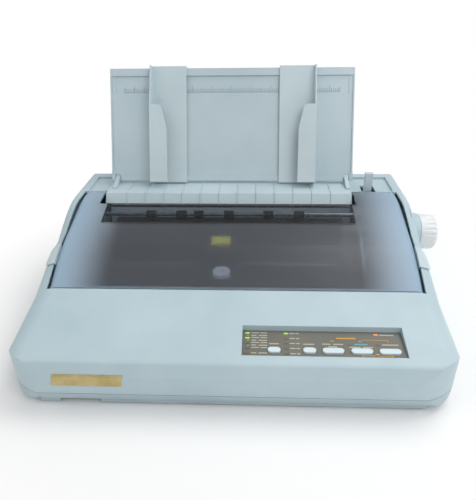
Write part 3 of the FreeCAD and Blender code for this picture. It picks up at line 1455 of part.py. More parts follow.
def make_chassis():
    """The folded metal base and the two side plates that carry every shaft."""
    base = block((CHASSIS_LEFT_X, CHASSIS_RIGHT_X), (S.chassis_front_y, S.chassis_rear_y),
                 (S.chassis_z, CHASSIS_TOP))
    part("chassis_base", group([base, idler_post()]))
    points = ((S.plate_front_y, CHASSIS_TOP), (S.plate_front_y, S.plate_front_z),
              (S.plate_mid_y, S.plate_mid_z),
              (S.plate_top_y, S.plate_top_z), (S.plate_rear_y, S.plate_top_z), (S.plate_rear_y, CHASSIS_TOP))
    plates = []
    for span, side in ((LEFT_PLATE, -1), (RIGHT_PLATE, 1)):
        plate = outline_body("x", span, points, "plate_sheet")
        foot_low, foot_high = ((span[0] - S.plate_foot_depth, span[0]) if side < 0
                               else (span[1], span[1] + S.plate_foot_depth))
        foot = block((foot_low, foot_high), (S.plate_front_y, S.plate_rear_y),
                     (CHASSIS_TOP, CHASSIS_TOP + S.plate_thick))
        tab_span = ((span[0], RIBBON_LEFT_X + S.ribbon_arm_width) if side < 0
                    else (RIBBON_RIGHT_X - S.ribbon_arm_width, span[1]))
        tab = block(tab_span, (S.plate_front_y, S.ribbon_rear_y),
                    (S.ribbon_low_z - S.plate_thick, S.ribbon_low_z))
        through = (span[0] - S.overrun, span[1] + S.overrun)
        tools = [rod("x", through, PLATEN, S.bush_radius),
                 rod("x", through, (S.carriage_shaft_y, S.carriage_shaft_z), S.carriage_shaft_radius),
                 rod("x", through, TRACTOR, S.tractor_shaft_radius + S.running_clearance),
                 rod("x", through, TRACTOR_ROD, S.tractor_rod_radius),
                 rod("x", through, BAIL_PIVOT, S.bail_pin_radius)]
        if side < 0:
            tools.append(rod("x", through, PINION, S.motor_boss_radius))
            tools.append(rod("x", through, IDLER, S.gear_pin_radius))
        else:
            tools.append(rod("x", through, LEVER_PIVOT, S.lever_pin_radius))
        plates.append(cut(fuse([plate, foot, tab]), tools))
    part("side_plates", group(plates))
    whole = (LEFT_PLATE[0], RIGHT_PLATE[1])
    shafts = [rod("x", whole, (S.carriage_shaft_y, S.carriage_shaft_z), S.carriage_shaft_radius),
              rod("x", whole, TRACTOR_ROD, S.tractor_rod_radius)]
    part("guide_shafts", group(shafts))
    between = (LEFT_PLATE[1], RIGHT_PLATE[0])
    part("carriage_rail", block(between, (S.rail_front_y, S.rail_front_y + S.rail_depth),
                                (S.rail_low_z, S.rail_low_z + S.rail_thick)))
    pivots = []
    arm_reach = S.bail_arm_gap + S.bail_arm_thick + S.bail_arm_gap
    pivots.append(rod("x", (LEFT_PLATE[0] - arm_reach, LEFT_PLATE[1]), BAIL_PIVOT, S.bail_pin_radius))
    pivots.append(rod("x", (RIGHT_PLATE[0], RIGHT_PLATE[1] + arm_reach), BAIL_PIVOT, S.bail_pin_radius))
    pivots.append(rod("x", (GEAR_LEFT_X - S.seat_gap, LEFT_PLATE[1]), IDLER, S.gear_pin_radius))
    pivots.append(rod("x", (RIGHT_PLATE[0], LEVER_RIGHT_X + S.seat_gap), LEVER_PIVOT, S.lever_pin_radius))
    part("pivot_pins", group(pivots))


def idler_post():
    """The post on the base that the belt's far pulley turns on."""
    half = S.idler_foot_half
    place = (PULLEY_RIGHT_X, S.belt_y)
    low = S.belt_low_z - S.seat_gap - S.pulley_flange_thick
    foot = block((PULLEY_RIGHT_X - half, PULLEY_RIGHT_X + half), (S.belt_y - half, S.belt_y + half),
                 (CHASSIS_TOP, low - S.seat_gap))
    top = S.belt_low_z + S.belt_width + S.seat_gap + S.pulley_flange_thick
    return fuse([foot, rod("z", (CHASSIS_TOP, top), place, S.idler_pin_radius)])


def make_electronics():
    """Main board with its chips and heat sink, and the mains transformer's core and coil."""
    top = S.board_low_z + S.board_thick
    pieces = [block((BOARD_LEFT_X, BOARD_RIGHT_X), (BOARD_FRONT_Y, BOARD_REAR_Y), (S.board_low_z, top))]
    left = BOARD_LEFT_X + 2 * S.standoff_inset
    for index in range(CHIP_COUNT):
        x = left + S.chip_pitch * index
        y = BOARD_FRONT_Y + 2 * S.standoff_inset
        pieces.append(block((x, x + S.chip_width), (y, y + S.chip_length), (top, top + S.chip_height)))
    front = BOARD_REAR_Y - 2 * S.standoff_inset - S.heat_sink_depth
    base = block((left, left + S.heat_sink_width), (front, front + S.heat_sink_depth),
                 (top, top + S.heat_sink_fin))
    fins = []
    step = (S.heat_sink_width - S.heat_sink_fin) / (HEAT_SINK_FINS - 1)
    for index in range(HEAT_SINK_FINS):
        x = left + step * index
        fins.append(block((x, x + S.heat_sink_fin), (front, front + S.heat_sink_depth),
                          (top, top + S.heat_sink_height)))
    pieces.append(fuse([base] + fins))
    part("main_board", group(pieces))
    x0 = S.transformer_inset - PLINTH_HALF
    y0 = PLINTH_FRONT_Y + S.case_screw_inset_y + S.case_boss_radius + S.transformer_boss_gap
    x1, y1 = x0 + S.transformer_width, y0 + S.transformer_depth
    margin = S.transformer_coil_margin
    middle = FLOOR_Z + S.transformer_coil_height / 2
    half = S.transformer_core_height / 2
    core = block((x0, x1), (y0, y1), (FLOOR_Z, middle + half))
    coil_space = block((x0 + margin, x1 - margin), (y0 + margin, y1 - margin), (FLOOR_Z, middle + half))
    coil = block((x0 + margin, x1 - margin), (y0 + margin, y1 - margin),
                 (FLOOR_Z, FLOOR_Z + S.transformer_coil_height))
    part("transformer", group([cut(core, [coil_space]), coil]))


# Paper feed

def gear_shape(place, teeth, bore, tooth_degrees, span):
    """A spur gear with involute flanks about an X axis, one tooth pointing along the given direction."""
    module = float(S.gear_module)
    pitch = module * teeth / 2
    base = pitch * math.cos(math.radians(PRESSURE_ANGLE))
    tip = pitch + module
    root = pitch - ROOT_DEPTH_SHARE * module
    thin = float(S.gear_backlash) / (2 * pitch)
    half_at_pitch = math.pi / (2 * teeth) - thin / 2

    def involute(radius):
        return math.sqrt(max((radius / base) ** 2 - 1, 0)) - math.acos(min(base / radius, 1))

    def half_angle(radius):
        return half_at_pitch + involute(pitch) - involute(max(radius, base))

    flank = [(root, half_angle(base)), (max(base, root), half_angle(base)), (pitch, half_at_pitch),
             ((pitch + tip) / 2, half_angle((pitch + tip) / 2)), (tip, half_angle(tip))]
    points = []
    for index in range(teeth):
        middle = math.radians(tooth_degrees) + 2 * math.pi * index / teeth
        for radius, half in flank:
            points.append((radius, middle - half))
        for radius, half in reversed(flank):
            points.append((radius, middle + half))
    low, high = float(span[0]), float(span[1])
    centre_y, centre_z = float(place[0]), float(place[1])
    places = [FreeCAD.Vector(low, centre_y + radius * math.cos(turn), centre_z + radius * math.sin(turn))
              for radius, turn in points]
    disc = face_of(places).extrude(FreeCAD.Vector(high - low, 0, 0))
    hole = Part.makeCylinder(float(bore), high - low, FreeCAD.Vector(low, centre_y, centre_z),
                             FreeCAD.Vector(1, 0, 0))
    return disc.cut(hole)


def make_platen():
    """Rubber roller on its shaft, with bushes, gear and hand knob."""
    shaft_end = KNOB_END_X - S.knob_edge_radius
    shaft_start = GEAR_LEFT_X - S.platen_shaft_overhang
    part("platen_shaft", rod("x", (shaft_start, shaft_end), PLATEN, S.platen_shaft_radius))
    roller = rod("x", (PLATEN_LEFT_X, PLATEN_RIGHT_X), PLATEN, S.platen_radius)
    bore = rod("x", (PLATEN_LEFT_X - S.overrun, PLATEN_RIGHT_X + S.overrun), PLATEN, S.platen_shaft_radius)
    part("platen_roller", cut(roller, [bore]))
    span = (GEAR_LEFT_X, GEAR_RIGHT_X)
    part("platen_gear", feature(gear_shape(PLATEN, PLATEN_TEETH, S.platen_shaft_radius, FEED_LINE, span)))
    bushes = []
    for plate, inward in ((LEFT_PLATE, 1), (RIGHT_PLATE, -1)):
        sleeve = rod("x", plate, PLATEN, S.bush_radius)
        face = plate[1] if inward > 0 else plate[0]
        low, high = (face, face + S.bush_flange_thick) if inward > 0 else (face - S.bush_flange_thick, face)
        flange = rod("x", (low, high), PLATEN, S.bush_flange_radius)
        hole = rod("x", (plate[0] - S.overrun, plate[1] + S.overrun), PLATEN,
                   S.platen_shaft_radius + S.running_clearance)
        bushes.append(cut(fuse([sleeve, flange]), [hole]))
    part("platen_bushes", group(bushes))
    knob = Part.makeCylinder(float(S.knob_radius), float(S.knob_length),
                             FreeCAD.Vector(float(KNOB_START_X), float(S.platen_y), float(S.platen_z)),
                             FreeCAD.Vector(1, 0, 0))
    middle_x = (float(KNOB_START_X) + float(KNOB_END_X)) / 2
    rim = [edge for edge in knob.Edges
           if edge.Curve.TypeId == "Part::GeomCircle" and edge.CenterOfMass.x > middle_x]
    knob = knob.makeFillet(float(S.knob_edge_radius), rim)
    flutes = []
    for index in range(KNOB_FLUTES):
        turn = 2 * math.pi * index / KNOB_FLUTES
        ends = []
        for x, depth in ((KNOB_START_X, S.knob_flute_depth * FLUTE_ROOT_SHARE), (KNOB_END_X, S.knob_flute_depth)):
            away = float(S.knob_radius + S.knob_flute_radius - depth)
            ends.append(FreeCAD.Vector(float(x), float(S.platen_y) + away * math.cos(turn),
                                       float(S.platen_z) + away * math.sin(turn)))
        run = ends[1] - ends[0]
        flutes.append(Part.makeCylinder(float(S.knob_flute_radius), run.Length + float(S.overrun), ends[0], run))
    knob = knob.cut(Part.makeCompound(flutes))
    socket = rod("x", (KNOB_START_X - S.overrun, shaft_end), PLATEN, S.platen_shaft_radius)
    part("platen_knob", cut(feature(knob, "knob_form"), [socket]))


def make_feed_train():
    """Motor, pinion, idler gear, tractor shaft and the two tractors."""
    span = (GEAR_LEFT_X, GEAR_RIGHT_X)
    back = FEED_LINE + 180
    motor_face = LEFT_PLATE[1]
    motor = rod("x", (motor_face, motor_face + S.feed_motor_length), PINION, S.feed_motor_radius)
    boss = rod("x", LEFT_PLATE, PINION, S.motor_boss_radius)
    shaft_room = rod("x", (LEFT_PLATE[0] - S.overrun, motor_face + S.feed_motor_length / 2), PINION,
                     S.motor_shaft_radius + S.running_clearance)
    part("feed_motor", cut(fuse([motor, boss]), [shaft_room]))
    pinion = feature(gear_shape(PINION, PINION_TEETH, S.motor_shaft_radius, back, span))
    shaft = rod("x", (GEAR_LEFT_X, motor_face + S.feed_motor_length / 2 - S.seat_gap), PINION,
                S.motor_shaft_radius)
    part("feed_pinion", fuse([pinion, shaft]))
    half_pitch = 180 / IDLER_TEETH
    part("feed_idler", feature(gear_shape(IDLER, IDLER_TEETH, S.gear_pin_radius + S.running_clearance,
                                          back + half_pitch, span)))
    gear = feature(gear_shape(TRACTOR, TRACTOR_TEETH, S.tractor_shaft_radius, TRACTOR_LINE + 180, span))
    part("tractor_gear", gear)
    shaft_end = RIGHT_PLATE[1] + S.tractor_shaft_overhang
    part("tractor_shaft", rod("x", (GEAR_LEFT_X, shaft_end), TRACTOR, S.tractor_shaft_radius))
    for label, x in (("tractor_left", S.tractor_left_x), ("tractor_right", S.tractor_right_x)):
        make_tractor(label, x)


def make_tractor(label, x):
    """One tractor: a rounded frame on both bars with its belt's pins along the top."""
    half = S.tractor_width / 2
    span = (x - half, x + half)
    y = TRACTOR[0]
    low, high = TRACTOR[1] - S.tractor_drop, TRACTOR[1] + S.tractor_rise
    front, rear = y - S.tractor_length / 2, y + S.tractor_length / 2
    frame = outline_body("x", span, ((front, low), (rear, low), (rear, high), (front, high)), label + "_frame")
    round_edges(frame, S.tractor_corner_radius, lambda edge: runs_along(edge, "x"))
    pins = []
    for index in (-0.5, 0.5):
        pin_y = y + S.tractor_pin_pitch * index
        pins.append(rod("z", (high - S.tractor_pin_height, high + S.tractor_pin_height), (x, pin_y),
                        S.tractor_pin_radius))
    tools = [rod("x", (span[0] - S.overrun, span[1] + S.overrun), TRACTOR,
                 S.tractor_shaft_radius + S.running_clearance),
             rod("x", (span[0] - S.overrun, span[1] + S.overrun), TRACTOR_ROD,
                 S.tractor_rod_radius + S.running_clearance)]
    part(label, cut(fuse([frame] + pins), tools))


def make_bail():
    """The paper bail: shaft, rollers and the arms that swing on the side plates."""
    gap, thick = S.bail_arm_gap, S.bail_arm_thick
    left = (LEFT_PLATE[0] - gap - thick, LEFT_PLATE[0] - gap)
    right = (RIGHT_PLATE[1] + gap, RIGHT_PLATE[1] + gap + thick)
    bail = (S.bail_y, S.bail_z)
    part("bail_shaft", rod("x", (left[0], right[1]), bail, S.bail_shaft_radius))
    rollers = []
    for x in (S.bail_roller_1_x, S.bail_roller_2_x, S.bail_roller_3_x, S.bail_roller_4_x, S.bail_roller_5_x,
              S.bail_roller_6_x):
        half = S.bail_roller_width / 2
        roller = rod("x", (x - half, x + half), bail, S.bail_roller_radius)
        bore = rod("x", (x - half - S.overrun, x + half + S.overrun), bail, S.bail_shaft_radius)
        rollers.append(cut(roller, [bore]))
    part("bail_rollers", group(rollers))
    width = S.bail_arm_half_width
    run_y, run_z = float(bail[0]) - float(BAIL_PIVOT[0]), float(bail[1]) - float(BAIL_PIVOT[1])
    length = math.hypot(run_y, run_z)
    side_y, side_z = -run_z / length, run_y / length
    points = ((BAIL_PIVOT[0] + width * side_y, BAIL_PIVOT[1] + width * side_z),
              (bail[0] + width * side_y, bail[1] + width * side_z),
              (bail[0] - width * side_y, bail[1] - width * side_z),
              (BAIL_PIVOT[0] - width * side_y, BAIL_PIVOT[1] - width * side_z))
    arms = []
    for span in (left, right):
        bar = outline_body("x", span, points, "bail_bar")
        ends = [rod("x", span, place, width) for place in (BAIL_PIVOT, bail)]
        tools = [rod("x", (span[0] - S.overrun, span[1] + S.overrun), BAIL_PIVOT,
                     S.bail_pin_radius + S.running_clearance),
                 rod("x", (span[0] - S.overrun, span[1] + S.overrun), bail, S.bail_shaft_radius)]
        arms.append(cut(fuse([bar] + ends), tools))
    part("bail_arms", group(arms))


def make_paper_chute():
    """The curved guide under and behind the platen, with the ribbed plate that leads into it."""
    inner = S.platen_radius + S.chute_gap
    outer = inner + S.chute_thick
    span = (LEFT_PLATE[1] + S.bush_flange_thick + S.seat_gap, RIGHT_PLATE[0] - S.bush_flange_thick - S.seat_gap)
    ring = cut(rod("x", span, PLATEN, outer),
               [rod("x", (span[0] - S.overrun, span[1] + S.overrun), PLATEN, inner)])
    upper = block((span[0] - S.overrun, span[1] + S.overrun),
                  (S.platen_y - outer - S.overrun, S.platen_y + outer + S.overrun),
                  (S.platen_z, S.platen_z + outer + S.overrun))
    front_limit = S.platen_y - inner * CHUTE_FRONT_SHARE
    front = block((span[0] - S.overrun, span[1] + S.overrun), (S.platen_y - outer - S.overrun, front_limit),
                  (S.platen_z - outer - S.overrun, S.platen_z + outer))
    half_ring = cut(ring, [upper, front])
    entry_points = ((S.platen_y + inner, S.platen_z), (S.platen_y + outer, S.platen_z),
                    (S.chute_top_y + S.chute_thick, S.chute_top_z), (S.chute_top_y, S.chute_top_z))
    entry = outline_body("x", span, entry_points, "chute_entry")
    pieces = [half_ring, entry]
    lean = (S.chute_top_y - S.platen_y - inner) / (S.chute_top_z - S.platen_z)
    middle_z = (S.platen_z + S.chute_top_z) / 2
    middle_y = S.platen_y + inner + lean * (middle_z - S.platen_z)
    half = S.rear_cover_rib_width / 2
    for index in range(RIB_COUNT):
        x = REAR_LEFT_X + S.rear_cover_rib_inset + S.chute_rib_pitch * index
        pieces.append(outline_body("x", (x - half, x + half),
                                   ((middle_y, middle_z), (middle_y + S.chute_thick, middle_z),
                                    (S.chute_top_y + S.chute_thick, S.chute_top_z),
                                    (S.chute_top_y - S.rear_cover_rib_height, S.chute_top_z)), "chute_rib"))
    for plate_face, side in ((LEFT_PLATE[1], 1), (RIGHT_PLATE[0], -1)):
        end = span[0] if side > 0 else span[1]
        low, high = (plate_face, end + S.overrun) if side > 0 else (end - S.overrun, plate_face)
        pieces.append(block((low, high), (S.platen_y - S.bush_radius, S.platen_y + S.bush_radius),
                            (S.platen_z - outer - S.chute_thick, S.platen_z - outer + S.chute_thick / 2)))
    part("paper_chute", fuse(pieces))


def make_lever():
    """The release lever that stands out of its slot in the rear deck."""
    span = (LEVER_LEFT_X, LEVER_RIGHT_X)
    hub = rod("x", span, LEVER_PIVOT, S.lever_hub_radius)
    rear = S.lever_front_y + S.lever_thick
    arm = outline_body("x", span, ((S.lever_front_y, S.lever_pivot_z), (rear, S.lever_pivot_z),
                                   (rear, S.lever_top_z), (S.lever_front_y, S.lever_top_z)), "lever_arm")
    round_edges(arm, S.lever_thick / 4,
                lambda edge: runs_along(edge, "x") and edge.CenterOfMass.z > float(S.rear_deck_z))
    bore = rod("x", (span[0] - S.overrun, span[1] + S.overrun), LEVER_PIVOT,
               S.lever_pin_radius + S.running_clearance)
    part("release_lever", cut(fuse([hub, arm]), [bore]))


# Print mechanism

def make_carriage():
    """The carriage with its belt clamp, the finned print head and its yellow cap."""
    x, half = S.carriage_x, S.carriage_half_width
    span = (x - half, x + half)
    body = block(span, (S.carriage_front_y, S.carriage_rear_y), (S.carriage_low_z, S.carriage_top_z))
    rail_top = S.rail_low_z + S.rail_thick
    slider = block((x - half / 2, x + half / 2), (S.rail_front_y + S.rail_depth / 3, S.carriage_front_y),
                   (rail_top + S.slider_gap, S.carriage_low_z + S.clamp_wall))
    bore = rod("x", (span[0] - S.overrun, span[1] + S.overrun), (S.carriage_shaft_y, S.carriage_shaft_z),
               S.carriage_shaft_radius + S.running_clearance)
    run_y = S.belt_y - S.pulley_radius - S.belt_thick
    gap, wall = S.clamp_gap, S.clamp_wall
    clamp_span = (x - S.clamp_width / 2, x + S.clamp_width / 2)
    clamp = block(clamp_span, (run_y - gap - wall, run_y + S.belt_thick + gap + wall),
                  (S.belt_low_z + gap, S.carriage_low_z + wall))
    slot = block((clamp_span[0] - S.overrun, clamp_span[1] + S.overrun),
                 (run_y - gap, run_y + S.belt_thick + gap),
                 (S.belt_low_z - S.overrun, S.belt_low_z + S.belt_width + gap))
    part("carriage", cut(fuse([body, slider, clamp]), [bore, slot]))
    head_span = (x - S.head_half_width, x + S.head_half_width)
    head = block(head_span, (S.head_front_y, S.head_rear_y), (S.carriage_top_z, S.head_top_z))
    nose = outline_body("x", (x - S.nose_half_width, x + S.nose_half_width),
                        ((S.head_rear_y, S.carriage_top_z), (S.nose_tip_y, S.nose_low_z),
                         (S.nose_tip_y, S.nose_high_z),
                         (S.head_rear_y, S.nose_high_z)), "head_nose")
    fins = []
    for index in range(HEAD_FINS):
        z = S.head_top_z - S.head_fin_pitch * (index + 0.5)
        for side in (-1, 1):
            edge = x + S.head_half_width * side
            inner = edge - S.head_fin_depth * side
            low, high = (edge - S.overrun, inner) if side < 0 else (inner, edge + S.overrun)
            fins.append(block((low, high), (S.head_front_y - S.overrun, S.head_rear_y + S.overrun),
                              (z - S.head_fin_gap / 2, z + S.head_fin_gap / 2)))
        fins.append(block((head_span[0] - S.overrun, head_span[1] + S.overrun),
                          (S.head_front_y - S.overrun, S.head_front_y + S.head_fin_depth),
                          (z - S.head_fin_gap / 2, z + S.head_fin_gap / 2)))
    part("print_head", fuse([cut(head, fins), nose]))
    cap = block((x - S.cap_half_width, x + S.cap_half_width), (S.cap_front_y, S.cap_rear_y),
                (S.head_top_z, S.head_top_z + S.cap_height))
    part("head_cap", cap)


def make_ribbon():
    """The ribbon cartridge with its two arms, the ribbon between them and the winding knob."""
    span = (RIBBON_LEFT_X, RIBBON_RIGHT_X)
    case = block(span, (S.ribbon_front_y, S.ribbon_rear_y), (S.ribbon_low_z, S.ribbon_top_z))
    pieces = [case]
    width = S.ribbon_arm_width
    for x in (span[0], span[1] - width):
        pieces.append(outline_body("x", (x, x + width),
                                   ((S.ribbon_rear_y - S.ribbon_arm_root, S.ribbon_low_z),
                                    (S.ribbon_rear_y, S.ribbon_low_z),
                                    (S.ribbon_arm_tip_y - S.ribbon_arm_root, S.ribbon_arm_low_z),
                                    (S.ribbon_arm_tip_y, S.ribbon_arm_low_z),
                                    (S.ribbon_arm_tip_y, S.ribbon_arm_top_z),
                                    (S.ribbon_arm_tip_y - S.ribbon_arm_root, S.ribbon_arm_top_z),
                                    (S.ribbon_rear_y - S.ribbon_arm_root, S.ribbon_top_z)), "ribbon_arm"))
    pin_place = (S.ribbon_knob_x, S.ribbon_knob_y)
    hole = rod("z", (S.ribbon_top_z - S.ribbon_knob_height, S.ribbon_top_z + S.overrun), pin_place,
               S.ribbon_knob_pin_radius + S.running_clearance)
    part("ribbon_cartridge", cut(fuse(pieces), [hole]))
    strip = block((span[0] + width, span[1] - width),
                  (S.ribbon_strip_y, S.ribbon_strip_y + S.ribbon_strip_thick),
                  (S.ribbon_strip_low_z, S.ribbon_strip_high_z))
    part("ink_ribbon", strip)
    base = S.ribbon_top_z + S.seat_gap
    knob = rod("z", (base, base + S.ribbon_knob_height), pin_place, S.ribbon_knob_radius)
    pin = rod("z", (S.ribbon_top_z - S.ribbon_knob_height + S.seat_gap, base + S.ribbon_knob_height / 2),
              pin_place,
              S.ribbon_knob_pin_radius)
    length, thick = S.ribbon_blade_half_length, S.ribbon_blade_half_thick
    blade = block((S.ribbon_knob_x - length, S.ribbon_knob_x + length),
                  (S.ribbon_knob_y - thick, S.ribbon_knob_y + thick),
                  (base + S.ribbon_knob_height / 2, base + S.ribbon_knob_height + S.ribbon_blade_proud))
    part("ribbon_knob", fuse([knob, pin, blade]))


def make_belt_drive():
    """Carriage motor, belt and the two pulleys."""
    low = S.belt_low_z
    high = low + S.belt_width
    radius = S.pulley_radius
    motor_place = (PULLEY_LEFT_X, S.belt_y)
    idler_place = (PULLEY_RIGHT_X, S.belt_y)
    flange = radius + S.pulley_flange
    gap = S.seat_gap
    motor_top = CHASSIS_TOP + S.carriage_motor_height
    shaft_room = rod("z", (CHASSIS_TOP + S.carriage_motor_height / 2, motor_top + S.overrun), motor_place,
                     S.motor_shaft_radius + S.running_clearance)
    motor = rod("z", (CHASSIS_TOP, motor_top), motor_place, S.carriage_motor_radius)
    part("carriage_motor", cut(motor, [shaft_room]))

    def pulley_pieces(place):
        drum = rod("z", (low - gap, high + gap), place, radius - S.running_clearance)
        flanges = [rod("z", (start, start + S.pulley_flange_thick), place, flange)
                   for start in (low - gap - S.pulley_flange_thick, high + gap)]
        return [drum] + flanges

    shaft = rod("z", (CHASSIS_TOP + S.carriage_motor_height / 2 + gap, high), motor_place, S.motor_shaft_radius)
    part("motor_pulley", fuse(pulley_pieces(motor_place) + [shaft]))
    bore = rod("z", (low - S.overrun, high + S.overrun), idler_place, S.idler_pin_radius + S.running_clearance)
    part("idler_pulley", cut(fuse(pulley_pieces(idler_place)), [bore]))

    def loop(grow):
        reach = radius + grow
        straight = block((PULLEY_LEFT_X, PULLEY_RIGHT_X), (S.belt_y - reach, S.belt_y + reach), (low, high))
        return fuse([straight, rod("z", (low, high), motor_place, reach),
                     rod("z", (low, high), idler_place, reach)])

    part("timing_belt", cut(loop(S.belt_thick), [loop(ZERO)]))


# Sockets and switch on the rear wall

def make_ports():
    """Mains inlet, interface connector and rocker switch."""
    wall_y = S.casing_rear_y
    x, z = INLET_X, S.inlet_z
    half_width, half_height = S.inlet_half_width, S.inlet_half_height
    shell = block((x - half_width, x + half_width), (wall_y - S.inlet_depth, wall_y),
                  (z - half_height, z + half_height))
    flange = block((x - half_width - S.inlet_flange, x + half_width + S.inlet_flange),
                   (wall_y, wall_y + S.inlet_flange_thick),
                   (z - half_height - S.inlet_flange, z + half_height + S.inlet_flange))
    wall = S.inlet_wall
    socket = block((x - half_width + wall, x + half_width - wall),
                   (wall_y - S.inlet_depth + wall, wall_y + S.overrun),
                   (z - half_height + wall, z + half_height - wall))
    pieces = [cut(fuse([shell, flange]), [socket])]
    for index in (-1, 0, 1):
        blade_x = x + S.inlet_blade_pitch * index
        half = S.inlet_blade_thick / 2
        blade_z = z + S.inlet_blade_width / 2 * (1 if index == 0 else -1)
        start = wall_y - S.inlet_depth + wall
        pieces.append(block((blade_x - half, blade_x + half), (start, start + S.inlet_blade_length),
                            (blade_z - S.inlet_blade_width / 2, blade_z + S.inlet_blade_width / 2)))
    part("power_inlet", group(pieces))
    x, z = PORT_X, S.port_z
    half_width, half_height = S.port_half_width, S.port_half_height
    skin = block((x - half_width, x + half_width), (wall_y - S.port_depth, wall_y + S.port_flange_thick * 3),
                 (z - half_height, z + half_height))
    flange = block((x - half_width - S.port_flange, x + half_width + S.port_flange),
                   (wall_y, wall_y + S.port_flange_thick),
                   (z - half_height - S.port_shell * 2, z + half_height + S.port_shell * 2))
    room = block((x - half_width + S.port_shell, x + half_width - S.port_shell),
                 (wall_y - S.port_depth + S.port_shell, wall_y + S.port_depth),
                 (z - half_height + S.port_shell, z + half_height - S.port_shell))
    tongue_half = half_width - S.port_tongue_margin
    tongue = block((x - tongue_half, x + tongue_half),
                   (wall_y - S.port_depth + S.port_shell, wall_y + S.port_flange_thick * 2),
                   (z - S.port_tongue_half_height, z + S.port_tongue_half_height))
    part("interface_connector", group([cut(fuse([skin, flange]), [room]), tongue]))
    x, z = SWITCH_X, S.inlet_z
    half_width, half_height = S.switch_half_width, S.switch_half_height
    frame_wall = S.switch_frame / 2
    shell = block((x - half_width, x + half_width), (wall_y - S.switch_depth, wall_y),
                  (z - half_height, z + half_height))
    flange = block((x - half_width - frame_wall, x + half_width + frame_wall),
                   (wall_y, wall_y + S.inlet_flange_thick),
                   (z - half_height - frame_wall, z + half_height + frame_wall))
    room = block((x - half_width + frame_wall, x + half_width - frame_wall),
                 (wall_y - S.switch_depth + frame_wall, wall_y + S.overrun),
                 (z - half_height + frame_wall, z + half_height - frame_wall))
    pivot = (wall_y, z)
    pin_hole = rod("x", (x - half_width - S.overrun, x + half_width + S.overrun), (wall_y - S.switch_proud, z),
                   S.switch_pin_radius + S.running_clearance)
    part("switch_frame", cut(fuse([shell, flange]), [room, pin_hole]))
    rocker_half = half_width - frame_wall - S.switch_gap
    top = half_height - frame_wall - 2 * S.switch_gap
    points = [(wall_y + S.switch_proud * out, z + top * up) for out, up in ROCKER_SHARES]
    rocker = outline_body("x", (x - rocker_half, x + rocker_half), points, "rocker_form")
    pin = rod("x", (x - half_width, x + half_width), (pivot[0] - S.switch_proud, z), S.switch_pin_radius)
    part("power_switch", fuse([rocker, pin]))


make_upper_case()
make_lower_case()
make_feet_and_screws()
make_control_panel()
make_name_plate()
make_cover()
make_rear_cover()
make_sheet_guide()
make_edge_guide("edge_guide_left", S.edge_left_wall_x, S.edge_left_end_x)
make_edge_guide("edge_guide_right", S.edge_right_wall_x, S.edge_right_end_x)
make_chassis()
make_electronics()
make_platen()
make_feed_train()
make_bail()
make_paper_chute()
make_lever()
make_carriage()
make_ribbon()
make_belt_drive()
make_ports()
doc.recompute()

# Stand the machine on its feet over the origin, check every object and write the parts

extent = FreeCAD.BoundBox()
for piece in subparts:
    extent.add(piece.Shape.optimalBoundingBox(False, False))
shift = FreeCAD.Placement(FreeCAD.Vector(-extent.Center.x, -extent.Center.y, -extent.ZMin), FreeCAD.Rotation())
for piece in subparts:
    piece.Placement = shift.multiply(piece.Placement)
doc.recompute()
print("shift", shift.Base, "extent", extent)

for item in doc.Objects:
    if "Invalid" in item.State or "Error" in item.State:
        raise RuntimeError(f"{item.Label} failed: {item.State}")

os.makedirs("parts", exist_ok=True)
for piece in subparts:
    shape = piece.Shape
    if shape.isNull() or not shape.isValid() or not shape.Solids:
        raise RuntimeError(f"{piece.Label} has no valid solid")
    shape.exportStep(os.path.join("parts", piece.Label + ".step"))
    print(piece.Label, len(shape.Solids), round(shape.Volume / 1000, 2))
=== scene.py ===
import bpy
import math
from mathutils import Matrix, Vector


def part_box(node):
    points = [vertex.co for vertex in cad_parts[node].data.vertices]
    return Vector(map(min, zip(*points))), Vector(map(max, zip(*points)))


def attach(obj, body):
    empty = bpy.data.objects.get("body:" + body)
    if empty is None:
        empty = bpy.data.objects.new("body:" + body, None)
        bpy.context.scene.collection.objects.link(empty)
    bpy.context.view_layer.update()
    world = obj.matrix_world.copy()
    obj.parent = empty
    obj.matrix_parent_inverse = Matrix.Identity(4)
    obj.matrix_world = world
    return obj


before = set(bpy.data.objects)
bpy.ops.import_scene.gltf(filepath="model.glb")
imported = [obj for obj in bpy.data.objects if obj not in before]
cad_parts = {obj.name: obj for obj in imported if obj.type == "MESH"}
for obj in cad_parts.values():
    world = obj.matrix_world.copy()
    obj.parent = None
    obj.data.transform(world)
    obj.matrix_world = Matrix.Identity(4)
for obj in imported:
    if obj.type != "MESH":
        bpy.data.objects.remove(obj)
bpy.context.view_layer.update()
bpy.ops.object.select_all(action="DESELECT")

# Lengths are worked in millimetres, counted from the middle of the casing at table height. MM turns them to
# metres. The middle is found from two pieces of the frame whose places in the casing are known.
MM = 0.001
KNOB_END_X_MM = 241.3
PLATEN_Y_MM = 50.5
roller_low, roller_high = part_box("platen_roller")
knob_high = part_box("platen_knob")[1]
CASING_MIDDLE = Vector((knob_high.x - KNOB_END_X_MM * MM,
                        (roller_low.y + roller_high.y) / 2 - PLATEN_Y_MM * MM, 0))


def at(x, y, z):
    """A point of the machine in metres, from millimetres counted from the casing's middle."""
    return CASING_MIDDLE + Vector((x, y, z)) * MM


# Colours and shader nodes

# How far handling or grinding moves the roughness of a surface either way.
PLASTIC_SHINE_SPREAD = 0.06
METAL_SHINE_SPREAD = 0.08
# Refraction of the opaque plastics, and the lower one that keeps the view through the thin cover straight.
PLASTIC_IOR = 1.53
COVER_IOR = 1.2
# Size of the rubbed patches against that of the drifts of tone.
RUBBED_SHARE = 0.35
# Where the cover's side haze and its bluish tint begin and where they are full, from the middle of the
# casing, and the tint: the growth of the haze and the tint are a painted reflection.
SIDE_HAZE_AND_REFLECTION_START_MM, SIDE_HAZE_AND_REFLECTION_FULL_MM = 132, 198
PAINTED_REFLECTION_TINT = "B0CDE2"
# The part of a texture's factor, from its start, over which a blend of colours is spread.
BLEND_START, BLEND_SPAN = 0.25, 0.5


